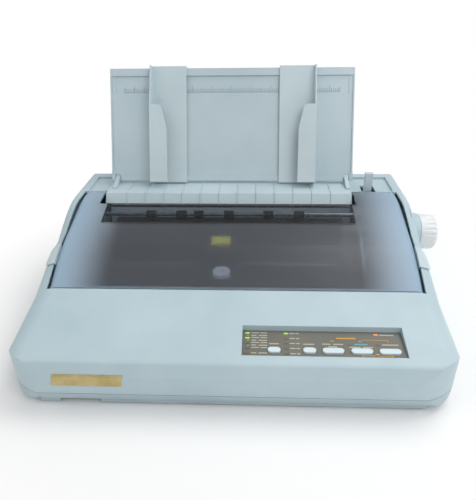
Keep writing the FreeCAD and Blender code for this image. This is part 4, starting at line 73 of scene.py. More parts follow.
def linear(code):
    """Turn an sRGB hex code into linear colour."""
    parts = [int(code[place:place + 2], 16) / 255 for place in (0, 2, 4)]
    bent = [part / 12.92 if part <= 0.04045 else ((part + 0.055) / 1.055) ** 2.4 for part in parts]
    return (*bent, 1.0)


def add(tree, kind, inputs=None, **settings):
    """Add a shader node, set it up and link or fill its inputs."""
    node = tree.nodes.new(kind)
    for name, value in settings.items():
        setattr(node, name, value)
    for name, value in (inputs or {}).items():
        if isinstance(value, bpy.types.NodeSocket):
            tree.links.new(value, node.inputs[name])
        else:
            node.inputs[name].default_value = value
    return node


def start(name):
    """A new material with its shader and output; returns the material, its tree and its shader."""
    material = bpy.data.materials.new(name)
    material.use_nodes = True
    tree = material.node_tree
    tree.nodes.clear()
    shader = add(tree, "ShaderNodeBsdfPrincipled")
    add(tree, "ShaderNodeOutputMaterial", {"Surface": shader.outputs["BSDF"]})
    return material, tree, shader


def pattern(size_mm):
    """The texture scale that makes a pattern about this many millimetres across."""
    return 1000 / size_mm


def blend_of(tree, factor, codes):
    """Two or more colours spread evenly over the middle half of a factor from 0 to 1."""
    ramp = add(tree, "ShaderNodeValToRGB", {"Fac": factor})
    stops = ramp.color_ramp.elements
    while len(stops) < len(codes):
        stops.new(0.5)
    for index, code in enumerate(codes):
        stops[index].position = BLEND_START + BLEND_SPAN * index / (len(codes) - 1)
        stops[index].color = linear(code)
    return ramp.outputs["Color"]


def surface_grain(tree, shader, grain_mm, depth_mm, edge_mm):
    """Give a shader a moulded grain and slightly rounded edges; returns the object coordinates."""
    place = add(tree, "ShaderNodeTexCoord").outputs["Object"]
    grain = add(tree, "ShaderNodeTexNoise", {"Vector": place, "Scale": pattern(grain_mm), "Detail": 3.0,
                                             "Roughness": 0.6})
    edge = add(tree, "ShaderNodeBevel", {"Radius": edge_mm * MM}, samples=4)
    bump = add(tree, "ShaderNodeBump", {"Height": grain.outputs["Fac"], "Distance": depth_mm * MM,
                                        "Strength": 0.6, "Normal": edge.outputs["Normal"]})
    tree.links.new(bump.outputs["Normal"], shader.inputs["Normal"])
    return place


def moulded_plastic(name, codes, roughness, grain_mm=0.9, depth_mm=0.05, edge_mm=0.8, cloud_mm=70.0):
    """Injection-moulded plastic: a fine grain, slow drifts of tone and shine from handling."""
    material, tree, shader = start(name)
    place = surface_grain(tree, shader, grain_mm, depth_mm, edge_mm)
    cloud = add(tree, "ShaderNodeTexNoise", {"Vector": place, "Scale": pattern(cloud_mm), "Detail": 4.0})
    tree.links.new(blend_of(tree, cloud.outputs["Fac"], codes), shader.inputs["Base Color"])
    rubbed = add(tree, "ShaderNodeTexNoise", {"Vector": place, "Scale": pattern(cloud_mm * RUBBED_SHARE),
                                              "Detail": 5.0})
    shine = add(tree, "ShaderNodeMapRange", {"Value": rubbed.outputs["Fac"], "From Min": 0.3, "From Max": 0.7,
                                             "To Min": roughness - PLASTIC_SHINE_SPREAD,
                                             "To Max": roughness + PLASTIC_SHINE_SPREAD})
    tree.links.new(shine.outputs["Result"], shader.inputs["Roughness"])
    shader.inputs["IOR"].default_value = PLASTIC_IOR
    return material


def ground_metal(name, codes, roughness, stretch, line_mm=0.25, metallic=1.0):
    """Bare or plated metal with the fine lines of grinding or rolling.

    The stretch scales the lines' pattern along X, Y and Z: they run along the axis where it is small.
    """
    material, tree, shader = start(name)
    place = add(tree, "ShaderNodeTexCoord").outputs["Object"]
    drawn = add(tree, "ShaderNodeMapping", {"Vector": place, "Scale": stretch})
    lines = add(tree, "ShaderNodeTexNoise", {"Vector": drawn.outputs["Vector"], "Scale": pattern(line_mm),
                                             "Detail": 3.0})
    cloud = add(tree, "ShaderNodeTexNoise", {"Vector": place, "Scale": pattern(25.0), "Detail": 4.0})
    mixed = add(tree, "ShaderNodeMath", {0: lines.outputs["Fac"], 1: cloud.outputs["Fac"]},
                operation="MULTIPLY")
    # Both factors lie about a half, so their product is doubled to lie there too.
    lifted = add(tree, "ShaderNodeMath", {0: mixed.outputs["Value"], 1: 2.0}, operation="MULTIPLY")
    tree.links.new(blend_of(tree, lifted.outputs["Value"], codes), shader.inputs["Base Color"])
    shine = add(tree, "ShaderNodeMapRange", {"Value": lines.outputs["Fac"], "From Min": 0.3, "From Max": 0.7,
                                             "To Min": roughness - METAL_SHINE_SPREAD,
                                             "To Max": roughness + METAL_SHINE_SPREAD})
    tree.links.new(shine.outputs["Result"], shader.inputs["Roughness"])
    bump = add(tree, "ShaderNodeBump", {"Height": lines.outputs["Fac"], "Distance": 0.01 * MM,
                                        "Strength": 0.4})
    tree.links.new(bump.outputs["Normal"], shader.inputs["Normal"])
    shader.inputs["Metallic"].default_value = metallic
    return material


def smoked_plastic(name, codes, roughness, scuff, haze_middle, edge_haze_and_reflection):
    """Smoke-tinted polycarbonate that lets things beneath show, more or less blurred.

    Its haze, the share of the light that it scatters, grows from the middle towards the two sides, where its
    colour also turns bluish: the even haze in the middle is its frosting, while the growth towards the sides
    and the bluish tint are a painted reflection.
    """
    material, tree, shader = start(name)
    place = surface_grain(tree, shader, grain_mm=1.2, depth_mm=0.03, edge_mm=0.8)
    cloud = add(tree, "ShaderNodeTexNoise", {"Vector": place, "Scale": pattern(90.0), "Detail": 4.0})
    tone = blend_of(tree, cloud.outputs["Fac"], codes)
    scuffs = add(tree, "ShaderNodeTexNoise", {"Vector": place, "Scale": pattern(14.0), "Detail": 6.0})
    shine = add(tree, "ShaderNodeMapRange", {"Value": scuffs.outputs["Fac"], "From Min": 0.35,
                                             "From Max": 0.7, "To Min": roughness,
                                             "To Max": roughness + scuff})
    tree.links.new(shine.outputs["Result"], shader.inputs["Roughness"])
    # Painted reflection: towards the sides the haze grows and the colour turns to a bluish tint.
    axes = add(tree, "ShaderNodeSeparateXYZ", {"Vector": place})
    from_middle = add(tree, "ShaderNodeMath", {0: axes.outputs["X"], 1: CASING_MIDDLE.x},
                      operation="SUBTRACT")
    away = add(tree, "ShaderNodeMath", {0: from_middle.outputs["Value"]}, operation="ABSOLUTE")
    clear = add(tree, "ShaderNodeMapRange", {"Value": away.outputs["Value"], "From Min": SIDE_HAZE_AND_REFLECTION_START_MM * MM,
                                             "From Max": SIDE_HAZE_AND_REFLECTION_FULL_MM * MM, "To Min": 1 - haze_middle,
                                             "To Max": 1 - edge_haze_and_reflection}, interpolation_type="SMOOTHSTEP")
    tree.links.new(clear.outputs["Result"], shader.inputs["Transmission Weight"])
    # Painted reflection: the bluish tint mixed into the colour towards the sides.
    at_side = add(tree, "ShaderNodeMapRange", {"Value": away.outputs["Value"], "From Min": SIDE_HAZE_AND_REFLECTION_START_MM * MM,
                                               "From Max": SIDE_HAZE_AND_REFLECTION_FULL_MM * MM})
    tinted = add(tree, "ShaderNodeMixRGB", {"Fac": at_side.outputs["Result"], "Color1": tone,
                                            "Color2": linear(PAINTED_REFLECTION_TINT)})
    tree.links.new(tinted.outputs["Color"], shader.inputs["Base Color"])
    shader.inputs["IOR"].default_value = COVER_IOR
    shader.inputs["Coat Weight"].default_value = 0.25
    shader.inputs["Coat Roughness"].default_value = 0.25
    return material


def lens_plastic(name, codes, glow, strength):
    """A small coloured lens of acrylic, lit or unlit from behind."""
    material, tree, shader = start(name)
    place = surface_grain(tree, shader, grain_mm=0.5, depth_mm=0.01, edge_mm=0.3)
    cloud = add(tree, "ShaderNodeTexNoise", {"Vector": place, "Scale": pattern(2.0), "Detail": 2.0})
    tree.links.new(blend_of(tree, cloud.outputs["Fac"], codes), shader.inputs["Base Color"])
    shader.inputs["Roughness"].default_value = 0.28
    shader.inputs["Emission Color"].default_value = linear(glow)
    shader.inputs["Emission Strength"].default_value = strength
    return material


def circuit_board(name):
    """Glass-epoxy board under green solder resist, with tracks showing as lighter lines."""
    material, tree, shader = start(name)
    place = add(tree, "ShaderNodeTexCoord").outputs["Object"]
    tracks = add(tree, "ShaderNodeTexBrick", {"Vector": place, "Scale": pattern(18.0), "Mortar Size": 0.03,
                                              "Color1": linear("1D5B38"), "Color2": linear("22683F"),
                                              "Mortar": linear("3E8F5C")})
    tree.links.new(tracks.outputs["Color"], shader.inputs["Base Color"])
    bump = add(tree, "ShaderNodeBump", {"Height": tracks.outputs["Fac"], "Distance": 0.03 * MM,
                                        "Strength": 0.5})
    tree.links.new(bump.outputs["Normal"], shader.inputs["Normal"])
    shader.inputs["Roughness"].default_value = 0.35
    return material


def inside(tree, middle, half):
    """A mask that is 1 inside a box given in millimetres from the casing's middle."""
    place = add(tree, "ShaderNodeTexCoord").outputs["Object"]
    offset = add(tree, "ShaderNodeVectorMath", {0: place, 1: at(*middle)}, operation="SUBTRACT")
    spread = add(tree, "ShaderNodeVectorMath", {0: offset.outputs["Vector"]}, operation="ABSOLUTE")
    over = add(tree, "ShaderNodeVectorMath", {0: spread.outputs["Vector"], 1: Vector(half) * MM},
               operation="SUBTRACT")
    axes = add(tree, "ShaderNodeSeparateXYZ", {"Vector": over.outputs["Vector"]})
    wide = add(tree, "ShaderNodeMath", {0: axes.outputs["X"], 1: axes.outputs["Y"]}, operation="MAXIMUM")
    most = add(tree, "ShaderNodeMath", {0: wide.outputs["Value"], 1: axes.outputs["Z"]}, operation="MAXIMUM")
    mask = add(tree, "ShaderNodeMath", {0: most.outputs["Value"], 1: 0.0}, operation="LESS_THAN")
    return mask.outputs["Value"]


def fitted(material, middle, half, codes, roughness, metallic):
    """Give what lies inside a box another finish: a second solid in the same node."""
    tree = material.node_tree
    shader = next(node for node in tree.nodes if node.type == "BSDF_PRINCIPLED")
    mask = inside(tree, middle, half)
    place = add(tree, "ShaderNodeTexCoord").outputs["Object"]
    cloud = add(tree, "ShaderNodeTexNoise", {"Vector": place, "Scale": pattern(12.0), "Detail": 3.0})
    tone = blend_of(tree, cloud.outputs["Fac"], codes)
    source = shader.inputs["Base Color"].links[0].from_socket
    mixed = add(tree, "ShaderNodeMixRGB", {"Fac": mask, "Color1": source, "Color2": tone})
    tree.links.new(mixed.outputs["Color"], shader.inputs["Base Color"])
    for name, value in (("Roughness", roughness), ("Metallic", metallic)):
        socket = shader.inputs[name]
        blend = add(tree, "ShaderNodeMix", {"Factor": mask, "A": socket.default_value, "B": value})
        if socket.links:
            tree.links.new(socket.links[0].from_socket, blend.inputs["A"])
        tree.links.new(blend.outputs["Result"], socket)
    return material


def woven_ribbon(name):
    """Nylon ribbon soaked in black ink: a fine weave with a dull shine."""
    material, tree, shader = start(name)
    place = add(tree, "ShaderNodeTexCoord").outputs["Object"]
    across = add(tree, "ShaderNodeTexWave", {"Vector": place, "Scale": pattern(4.0)}, bands_direction="X")
    along = add(tree, "ShaderNodeTexWave", {"Vector": place, "Scale": pattern(4.0)}, bands_direction="Z")
    weave = add(tree, "ShaderNodeMath", {0: across.outputs["Fac"], 1: along.outputs["Fac"]},
                operation="MULTIPLY")
    tree.links.new(blend_of(tree, weave.outputs["Value"], ("0C0C10", "1B1B22")), shader.inputs["Base Color"])
    bump = add(tree, "ShaderNodeBump", {"Height": weave.outputs["Value"], "Distance": 0.05 * MM})
    tree.links.new(bump.outputs["Normal"], shader.inputs["Normal"])
    shader.inputs["Roughness"].default_value = 0.62
    shader.inputs["Sheen Weight"].default_value = 0.3
    return material


# Materials, each named for what the real piece is made of and how it is finished

# ABS, moulded with a fine spark grain, dull pale blue-grey, slightly uneven with age: the upper shell.
CASING_ABS = moulded_plastic("abs_casing_fine_grain", ("ADC2CA", "B4C8CF", "BACDD4"), 0.5)
# The same plastic, a little greyer: the lower tray.
TRAY_ABS = moulded_plastic("abs_tray_fine_grain", ("A6B8C0", "AEC0C7", "B4C6CC"), 0.55)
# Polystyrene, moulded smoother: the sheet guide and the rear cover.
GUIDE_STYRENE = moulded_plastic("polystyrene_guide_satin", ("B3C5CC", "BACBD2", "BFD0D6"), 0.42,
                                grain_mm=0.7, depth_mm=0.02)
# The same, a shade lighter: the guide's two sliders, the release lever and the cover's grips.
EDGE_STYRENE = moulded_plastic("polystyrene_slider_satin", ("BCCDD3", "C3D3D8", "C8D7DC"), 0.4,
                               grain_mm=0.7, depth_mm=0.02)
# The same plastic with painted shade, darker than it: the raised lines of the sheet guide's ruler, their
# darker tone standing in for the shade at their sides.
RULER_PAINTED_SHADE = moulded_plastic("polystyrene_ruler_painted_shade", ("93A4AA", "9DADB3"), 0.5,
                                grain_mm=0.7, depth_mm=0.02, edge_mm=0.1)
# White acetal, moulded, satin: the platen knob and the ribbon's winding knob.
KNOB_ACETAL = moulded_plastic("acetal_knob_white", ("DADEE1", "E0E4E6", "E4E7E9"), 0.38,
                              depth_mm=0.02, edge_mm=0.6)
# ABS, polished by fingers: the buttons.
BUTTON_ABS = moulded_plastic("abs_button_satin", ("CFDFE6", "D7E6EC", "DBE9EE"), 0.35,
                             depth_mm=0.01, edge_mm=1.0)
# Polycarbonate, smoke-tinted, frosted below: the cover. Its haze growing towards the sides and its bluish
# tint there are a painted reflection.
COVER_SMOKE = smoked_plastic("polycarbonate_smoked_frosted_painted_reflection", ("C4CAD4", "CCD2DA"), 0.3,
                             scuff=0.06, haze_middle=0.07, edge_haze_and_reflection=0.66)
# The same polycarbonate left clear: the strip over the paper bail, with the same painted bluish reflection
# towards the sides.
WINDOW_SMOKE = smoked_plastic("polycarbonate_smoked_clear", ("C2C8D0", "CACED6"), 0.05,
                              scuff=0.03, haze_middle=0.0, edge_haze_and_reflection=0.0)
# Polycarbonate sheet, printed grey-brown behind a matt face: the control panel.
PANEL_SHEET = moulded_plastic("polycarbonate_panel_matt", ("64645B", "6C6C63", "727269"), 0.5,
                              grain_mm=0.4, depth_mm=0.01, edge_mm=0.2)
# Coloured acrylic, moulded glossy: the lenses of the lamps, lit green, lit amber and unlit.
GREEN_LENS = lens_plastic("acrylic_lens_green_lit", ("86A63A", "9CB84A"), glow="A6D23C", strength=0.7)
AMBER_LENS = lens_plastic("acrylic_lens_amber_lit", ("D0703A", "E08848"), glow="F08A4A", strength=0.8)
DARK_LENS = lens_plastic("acrylic_lens_unlit", ("6E6456", "7C7164"), glow="202820", strength=0.0)
# Anodised aluminium foil, pale gold, brushed along its length: the name plate.
GOLD_PLATE = ground_metal("anodised_aluminium_gold_brushed", ("A8965F", "C0AE78", "CDBE90"), 0.4,
                          (0.05, 1.0, 1.0), metallic=0.55)
# Neoprene, moulded, matt black: the feet and the toothed belt.
FOOT_RUBBER = moulded_plastic("neoprene_foot_matt", ("141414", "1C1C1C"), 0.8, grain_mm=0.6)
# Nitrile rubber, ground to size: the platen and the bail rollers.
ROLLER_RUBBER = moulded_plastic("nitrile_roller_ground", ("151517", "1E1E21"), 0.55,
                                grain_mm=0.4, depth_mm=0.02, edge_mm=0.5)
# Mild steel, centreless ground: shafts, pins and screws.
SHAFT_STEEL = ground_metal("steel_shaft_ground", ("8E9092", "A4A6A8"), 0.25, (0.05, 1.0, 1.0))
# Steel sheet, zinc plated and passivated, faintly yellow-blue: the frame.
ZINC_SHEET = ground_metal("steel_sheet_zinc_plated", ("93968F", "A6A9A4", "B2B4B4"), 0.42, (1.0, 0.2, 1.0))
# Die-cast aluminium, left dark by its finish: the print head.
CAST_HEAD = ground_metal("aluminium_cast_dark", ("4C4E50", "62656A"), 0.5, (1.0, 1.0, 1.0), line_mm=0.8)
# The interface connector: a tin-plated steel shell round a black tongue.
CONNECTOR = fitted(ground_metal("steel_tin_plated_connector", ("A5A6A6", "BDBEBE"), 0.32, (0.1, 1.0, 1.0)),
                   middle=(-60, 166, 44), half=(24, 10.2, 2.4),
                   codes=("16171A", "202126"), roughness=0.5, metallic=0.0)
# Steel can under black baked enamel: the motors.
MOTOR_ENAMEL = moulded_plastic("enamel_motor_black", ("1A1B1D", "232427"), 0.4, depth_mm=0.02)
# Acetal, moulded, off-white: gears, pulleys and bushes.
GEAR_ACETAL = moulded_plastic("acetal_gear_natural", ("DAD7CB", "E4E1D6"), 0.42, depth_mm=0.01, edge_mm=0.2)
# Glass-filled polystyrene, black: the mechanism's mouldings.
BLACK_STYRENE = moulded_plastic("polystyrene_mechanism_black", ("16171A", "202126"), 0.45)
# The mains inlet: a black moulding with three bare blades in its socket.
INLET_BLACK = fitted(moulded_plastic("polystyrene_inlet_black", ("16171A", "202126"), 0.45),
                     middle=(150, 157.2, 42), half=(9, 6.1, 5),
                     codes=("A5A6A6", "C2C3C3"), roughness=0.3, metallic=1.0)
# Polystyrene, pale, like the rear cover over it: the paper chute.
CHUTE_STYRENE = moulded_plastic("polystyrene_chute_pale", ("A9B8BD", "B4C2C6"), 0.45)
# ABS, yellow: the cap on the print head.
YELLOW_CAP = moulded_plastic("abs_cap_yellow", ("ECE02A", "F4EA38"), 0.4, depth_mm=0.02)
# Glass-epoxy under green solder resist: the panel's board.
BOARD_GREEN = circuit_board("glass_epoxy_board_green")
# The main board: black chips on it and, behind them, a dark heat sink.
BOARD_WITH_CHIPS = fitted(circuit_board("glass_epoxy_board_fitted"),
                          middle=(60, -97, 27), half=(170, 23, 11.3),
                          codes=("18191C", "222327"), roughness=0.5, metallic=0.0)
MAIN_BOARD = fitted(BOARD_WITH_CHIPS, middle=(60, -60, 27), half=(170, 16, 11.3),
                    codes=("4C4E50", "62656A"), roughness=0.5, metallic=0.9)
# The transformer: a laminated core with a taped coil standing out of it.
LAMINATED_CORE = ground_metal("steel_transformer_core_laminated", ("4A4A48", "5E5E5B"), 0.5,
                              (1.0, 1.0, 4.0))
TRANSFORMER = fitted(LAMINATED_CORE, middle=(-160, -100, 42), half=(60, 60, 10.3),
                     codes=("B8923C", "C6A24E"), roughness=0.45, metallic=0.0)
# Nylon, woven and inked: the ribbon.
INK_RIBBON = woven_ribbon("nylon_ribbon_inked")
# Screen inks, matt: the marks on the panel.
CREAM_INK = moulded_plastic("screen_ink_cream", ("B4B2A0", "BEBCAA"), 0.6, depth_mm=0.005, edge_mm=0.05)
ORANGE_INK = moulded_plastic("screen_ink_orange", ("D79A38", "E0A848"), 0.6, depth_mm=0.005, edge_mm=0.05)
CYAN_INK = moulded_plastic("screen_ink_cyan", ("5AAEB8", "66BAC4"), 0.6, depth_mm=0.005, edge_mm=0.05)

# Each material and the nodes of the frame that it covers.
FINISHES = (
    (CASING_ABS, "upper_case"),
    (TRAY_ABS, "lower_case"),
    (GUIDE_STYRENE, "sheet_guide rear_cover"),
    (EDGE_STYRENE, "edge_guide_left edge_guide_right release_lever cover_grips"),
    (KNOB_ACETAL, "platen_knob ribbon_knob"),
    (BUTTON_ABS, "button_font button_pitch button_set button_feed button_online"),
    (COVER_SMOKE, "cover_panel"),
    (WINDOW_SMOKE, "cover_window"),
    (PANEL_SHEET, "control_plate"),
    (GREEN_LENS, "leds_green"),
    (AMBER_LENS, "led_amber"),
    (DARK_LENS, "leds_unlit"),
    (GOLD_PLATE, "name_plate"),
    (FOOT_RUBBER, "rubber_feet timing_belt"),
    (ROLLER_RUBBER, "platen_roller bail_rollers"),
    (SHAFT_STEEL, "platen_shaft guide_shafts tractor_shaft bail_shaft pivot_pins case_screws"),
    (ZINC_SHEET, "chassis_base side_plates carriage_rail bail_arms"),
    (MOTOR_ENAMEL, "feed_motor carriage_motor"),
    (GEAR_ACETAL, "platen_gear feed_idler feed_pinion tractor_gear motor_pulley idler_pulley platen_bushes"),
    (BLACK_STYRENE, "carriage ribbon_cartridge tractor_left tractor_right switch_frame power_switch"),
    (INLET_BLACK, "power_inlet"),
    (CHUTE_STYRENE, "paper_chute"),
    (CAST_HEAD, "print_head"),
    (YELLOW_CAP, "head_cap"),
    (BOARD_GREEN, "panel_board"),
    (MAIN_BOARD, "main_board"),
    (TRANSFORMER, "transformer"),
    (INK_RIBBON, "ink_ribbon"),
    (CONNECTOR, "interface_connector"),
)


def paint(thing, material):
    """Give an object one material."""
    thing.data.materials.clear()
    thing.data.materials.append(material)


for material, names in FINISHES:
    for name in names.split():
        paint(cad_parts[name], material)

# Modelling helpers

SMOOTH_ANGLE_DEG = 35


def slab(name, low, high):
    """A block between two corners in millimetres."""
    low, high = Vector(low) * MM, Vector(high) * MM
    bpy.ops.mesh.primitive_cube_add(size=1, location=(low + high) / 2, scale=high - low)
    thing = bpy.context.object
    thing.name = name
    bpy.ops.object.transform_apply(location=True, rotation=True, scale=True)
    return thing


def repeated(thing, count, step_mm):
    """Copy a piece along a line, the copies part of the same mesh."""
    array = thing.modifiers.new("row", "ARRAY")
    array.count = count
    array.use_relative_offset = False
    array.use_constant_offset = True
    array.constant_offset_displace = Vector(step_mm) * MM
    bpy.ops.object.select_all(action="DESELECT")
    thing.select_set(True)
    bpy.context.view_layer.objects.active = thing
    bpy.ops.object.modifier_apply(modifier=array.name)
    return thing


def joined(name, things):
    """Join pieces into one mesh; a single piece only takes the name."""
    bpy.ops.object.select_all(action="DESELECT")
    for thing in things:
        thing.select_set(True)
    bpy.context.view_layer.objects.active = things[0]
    if len(things) > 1:
        bpy.ops.object.join()
    things[0].name = name
    return things[0]


def set_down(thing, matrix):
    """Put a piece that was made flat where it belongs and leave its object at the origin."""
    thing.matrix_world = matrix @ thing.matrix_world
    bpy.ops.object.select_all(action="DESELECT")
    thing.select_set(True)
    bpy.context.view_layer.objects.active = thing
    bpy.ops.object.transform_apply(location=True, rotation=True, scale=True)
    return thing


def finish(thing, material, body):
    """Paint a piece, smooth it, and hand it to its body."""
    paint(thing, material)
    bpy.ops.object.select_all(action="DESELECT")
    thing.select_set(True)
    bpy.context.view_layer.objects.active = thing
    bpy.ops.object.shade_smooth_by_angle(angle=math.radians(SMOOTH_ANGLE_DEG))
    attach(thing, body)
    thing.select_set(False)


# Ruler of the sheet guide: ten ticks to the inch, longer at the half inch and the inch

# The guide's pivot, and how far it leans back.
GUIDE_PIVOT = (0, 114.2, 131.2)
GUIDE_LEAN_DEG = 23.3
GUIDE_TURN = Matrix.Rotation(math.radians(90 - GUIDE_LEAN_DEG), 4, "X")
GUIDE_PLACE = Matrix.Translation(at(*GUIDE_PIVOT)) @ GUIDE_TURN
# The ruler on the guide's face, counted up from the pivot: its base line, its middle and its length.
INCH = 25.4
RULER_BASE, RULER_MIDDLE, RULER_INCHES = 112.2, -11.0, 11
# The face that the lines stand on, how deep they are rooted in it and how far they stand out.
RULER_FACE, LINE_ROOT, LINE_STAND = 0.7, 0.1, 0.25
HALF_TICK_WIDTH, HALF_LINE_WIDTH = 0.25, 0.2
# Length, spacing and number of the ticks.
TICK_ROWS = ((4.4, INCH / 10, 111), (5.9, INCH / 2, 23), (7.8, INCH, 11))


def make_ruler():
    root, top = RULER_FACE - LINE_ROOT, RULER_FACE + LINE_STAND
    ticks = []
    for length, step, count in TICK_ROWS:
        first = RULER_MIDDLE - step * (count - 1) / 2
        tick = slab("tick", (first - HALF_TICK_WIDTH, RULER_BASE, root),
                    (first + HALF_TICK_WIDTH, RULER_BASE + length, top))
        ticks.append(repeated(tick, count, (step, 0, 0)))
    half_length = INCH * RULER_INCHES / 2
    line = slab("line", (RULER_MIDDLE - half_length, RULER_BASE - HALF_LINE_WIDTH, root),
                (RULER_MIDDLE + half_length, RULER_BASE + HALF_LINE_WIDTH, top))
    ruler = set_down(joined("guide_ruler", ticks + [line]), GUIDE_PLACE)
    # Painted shade: the ruler's lines take a darker tone than the guide.
    finish(ruler, RULER_PAINTED_SHADE, "guide")


make_ruler()

# Marks printed on the control panel: bars where captions stand, and the lines and heads of arrows

# The panel rises to the back: its front edge, its depth and its thickness give its slope.
PANEL_FRONT_Y, PANEL_DEPTH, PANEL_THICK = -150.7, 33.9, 0.8
panel_low, panel_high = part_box("control_plate")
PANEL_FRONT_TOP = panel_low.z / MM + PANEL_THICK
PANEL_SLOPE = (panel_high.z / MM - PANEL_FRONT_TOP) / PANEL_DEPTH
PANEL_TURN = Matrix.Rotation(math.atan(PANEL_SLOPE), 4, "X")
# How far the ink reaches into the sheet and how far it stands on it.
INK_ROOT, INK_STAND = 0.05, 0.06


def panel_mark(x, y, width, height):
    """A thin printed bar that follows the panel's slope, centred on a place."""
    z = PANEL_FRONT_TOP + PANEL_SLOPE * (y - PANEL_FRONT_Y)
    mark = slab("mark", (-width / 2, -height / 2, -INK_ROOT), (width / 2, height / 2, INK_STAND))
    return set_down(mark, Matrix.Translation(at(x, y, z)) @ PANEL_TURN)


# Each mark: its place across the machine, its place from front to back, its width and its height.
CREAM_MARKS = (
    (41.8, -133.6, 9.3, 1.3), (74.9, -133.6, 10.2, 1.3), (91.5, -133.1, 8.0, 1.3),
    (102.6, -133.1, 9.6, 1.3), (97.1, -136.3, 8.6, 1.3), (118.2, -136.5, 10.6, 1.3),
    (130.2, -136.5, 9.6, 1.3), (151.7, -133.0, 15.2, 1.4), (150.4, -120.5, 13.6, 1.4),
    (16.7, -123.4, 1.3, 1.0), (16.8, -129.7, 1.3, 1.0), (17.0, -135.9, 1.3, 1.0),
)
ORANGE_MARKS = (
    (110.9, -125.4, 18.7, 1.6), (97.4, -129.0, 3.3, 1.0), (124.0, -129.1, 3.3, 1.0),
    (138.0, -127.1, 24.0, 0.5), (150.4, -128.4, 0.6, 2.6), (138.0, -145.0, 3.4, 1.2),
    (130.0, -146.6, 11.1, 0.5), (145.8, -146.9, 13.0, 0.5), (124.4, -146.8, 2.0, 1.4),
    (151.1, -147.0, 2.0, 1.4),
)
CYAN_MARKS = ((124.2, -132.9, 12.5, 1.3),)
# Captions beside the two columns of lamps: the rows from back to front, and the bars of a row as place and
# width. In the left column two kinds of row take turns.
CAPTION_ROWS = (-119.7, -123.2, -126.0, -129.5, -132.4, -135.7, -138.7, -145.4)
CAPTION_BARS = (((23.8, 7.6), (32.1, 6.4)), ((22.6, 5.0), (31.2, 8.2)))
CAPTION_HEIGHT = 1.15
LAMP_ROWS = (-120.0, -126.5, -132.9, -139.2, -145.7)
LAMP_BARS = ((59.4, 5.2), (64.6, 3.2))
LAMP_BAR_HEIGHT = 1.2


def make_panel_marks():
    cream = [panel_mark(*mark) for mark in CREAM_MARKS]
    orange = [panel_mark(*mark) for mark in ORANGE_MARKS]
    cyan = [panel_mark(*mark) for mark in CYAN_MARKS]
    for row, y in enumerate(CAPTION_ROWS):
        cream += [panel_mark(x, y, width, CAPTION_HEIGHT) for x, width in CAPTION_BARS[row % 2]]
    for y in LAMP_ROWS:
        cream += [panel_mark(x, y, width, LAMP_BAR_HEIGHT) for x, width in LAMP_BARS]
    finish(joined("panel_marks_cream", cream), CREAM_INK, "casing")
    finish(joined("panel_marks_orange", orange), ORANGE_INK, "casing")
    finish(joined("panel_marks_cyan", cyan), CYAN_INK, "casing")


make_panel_marks()

# Floor, light and camera

# The floor's size and how far its middle lies behind the machine, in metres.
FLOOR_SIZE, FLOOR_BACK = 40, 8
# Between these distances from the machine, in metres, the floor turns plain white to the camera.
FADE_START, FADE_END = 0.27, 0.42


def make_stage():
    """A white paper floor that keeps the machine's shadow."""
    bpy.ops.mesh.primitive_plane_add(size=FLOOR_SIZE, location=(0, FLOOR_BACK, 0))
    floor = bpy.context.object
    floor.name = "floor"
    material, tree, shader = start("paper_backdrop_white")
    place = add(tree, "ShaderNodeTexCoord").outputs["Object"]
    cloud = add(tree, "ShaderNodeTexNoise", {"Vector": place, "Scale": 3.0})
    tree.links.new(blend_of(tree, cloud.outputs["Fac"], ("F6F6F6", "F8F8F8")), shader.inputs["Base Color"])
    shader.inputs["Roughness"].default_value = 0.9
    shader.inputs["Specular IOR Level"].default_value = 0.1
    # The floor's object coordinates start at its own middle, so they are set back to the machine first.
    middle = add(tree, "ShaderNodeVectorMath", {0: place, 1: (0, FLOOR_BACK, 0)}, operation="ADD")
    away = add(tree, "ShaderNodeVectorMath", {0: middle.outputs["Vector"]}, operation="LENGTH")
    fade = add(tree, "ShaderNodeMapRange", {"Value": away.outputs["Value"], "From Min": FADE_START,
                                            "From Max": FADE_END})
    ray = add(tree, "ShaderNodeLightPath")
    seen = add(tree, "ShaderNodeMath", {0: ray.outputs["Is Camera Ray"],
                                        1: ray.outputs["Is Transmission Ray"]}, operation="MAXIMUM")
    share = add(tree, "ShaderNodeMath", {0: fade.outputs["Result"], 1: seen.outputs["Value"]},
                operation="MULTIPLY")
    glow = add(tree, "ShaderNodeEmission", {"Color": linear("FFFFFF"), "Strength": 1.0})
    blend = add(tree, "ShaderNodeMixShader", {0: share.outputs["Value"], 1: shader.outputs["BSDF"],
                                              2: glow.outputs["Emission"]})
    output = next(node for node in tree.nodes if node.type == "OUTPUT_MATERIAL")
    tree.links.new(blend.outputs["Shader"], output.inputs["Surface"])
    paint(floor, material)
    floor.select_set(False)


# Soft round lamps: name, place, aim and width in metres, and power in watts.
LAMPS = (
    ("key", (0.9, 0.5, 1.9), (0, 0, 0.05), 1.4, 18),
    ("front", (1.0, -1.2, 1.6), (0, 0, 0.1), 1.4, 11.5),
    ("fill", (-1.5, -0.6, 1.4), (0, 0, 0.1), 1.2, 5),
    ("right", (1.7, 0.1, 0.8), (0.1, 0, 0.1), 0.9, 2),
)


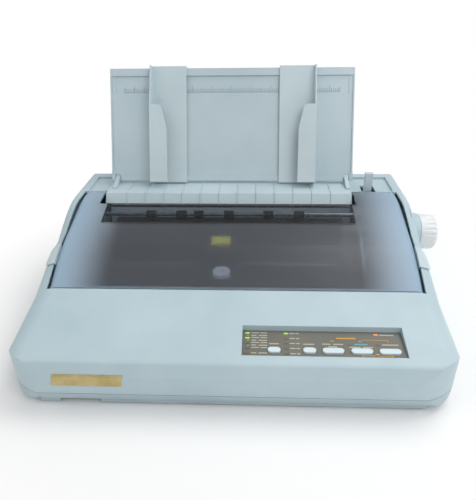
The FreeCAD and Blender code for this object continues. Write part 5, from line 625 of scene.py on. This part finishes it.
def make_light(name, place, target, size, power):
    data = bpy.data.lights.new(name, "AREA")
    data.shape = "DISK"
    data.size = size
    data.energy = power
    light = bpy.data.objects.new(name, data)
    bpy.context.scene.collection.objects.link(light)
    light.location = place
    light.rotation_mode = "QUATERNION"
    light.rotation_quaternion = (Vector(target) - Vector(place)).to_track_quat("-Z", "Y")


# The camera that was fitted to the photograph: its place, how far it is turned right, down and over, and its
# lens, as the focal length in pixels of a picture whose longer side has PICTURE_PIXELS.
CAMERA_PLACE = (27.068, -504.025, 369.671)
CAMERA_TURN_DEG = (-2.817, 29.202, -0.891)
FOCAL_PIXELS, PICTURE_PIXELS, SENSOR_MM = 495.641, 500, 36


def make_camera():
    yaw, pitch, roll = (math.radians(angle) for angle in CAMERA_TURN_DEG)
    forward = Vector((math.sin(yaw) * math.cos(pitch), math.cos(yaw) * math.cos(pitch), -math.sin(pitch)))
    level = Vector((math.cos(yaw), -math.sin(yaw), 0))
    over = level.cross(forward)
    right = level * math.cos(roll) + over * math.sin(roll)
    up = over * math.cos(roll) - level * math.sin(roll)
    data = bpy.data.cameras.new("camera")
    data.sensor_width = SENSOR_MM
    data.lens = FOCAL_PIXELS * SENSOR_MM / PICTURE_PIXELS
    camera = bpy.data.objects.new("camera", data)
    bpy.context.scene.collection.objects.link(camera)
    turned = Matrix((right, up, -forward)).transposed().to_4x4()
    camera.matrix_world = Matrix.Translation(at(*CAMERA_PLACE)) @ turned
    bpy.context.scene.camera = camera


# How bright the white surroundings are as light, and as the camera sees them.
WORLD_LIGHT, WORLD_SEEN = 0.5, 1.0


def make_world():
    world = bpy.data.worlds.new("studio")
    bpy.context.scene.world = world
    world.use_nodes = True
    sky = world.node_tree
    sky.nodes.clear()
    ray = add(sky, "ShaderNodeLightPath")
    strength = add(sky, "ShaderNodeMapRange", {"Value": ray.outputs["Is Camera Ray"], "To Min": WORLD_LIGHT,
                                               "To Max": WORLD_SEEN})
    background = add(sky, "ShaderNodeBackground", {"Color": linear("FFFFFF"),
                                                   "Strength": strength.outputs["Result"]})
    add(sky, "ShaderNodeOutputWorld", {"Surface": background.outputs["Background"]})


make_stage()
for lamp in LAMPS:
    make_light(*lamp)
make_camera()
make_world()
bpy.context.scene.view_settings.view_transform = "Standard"
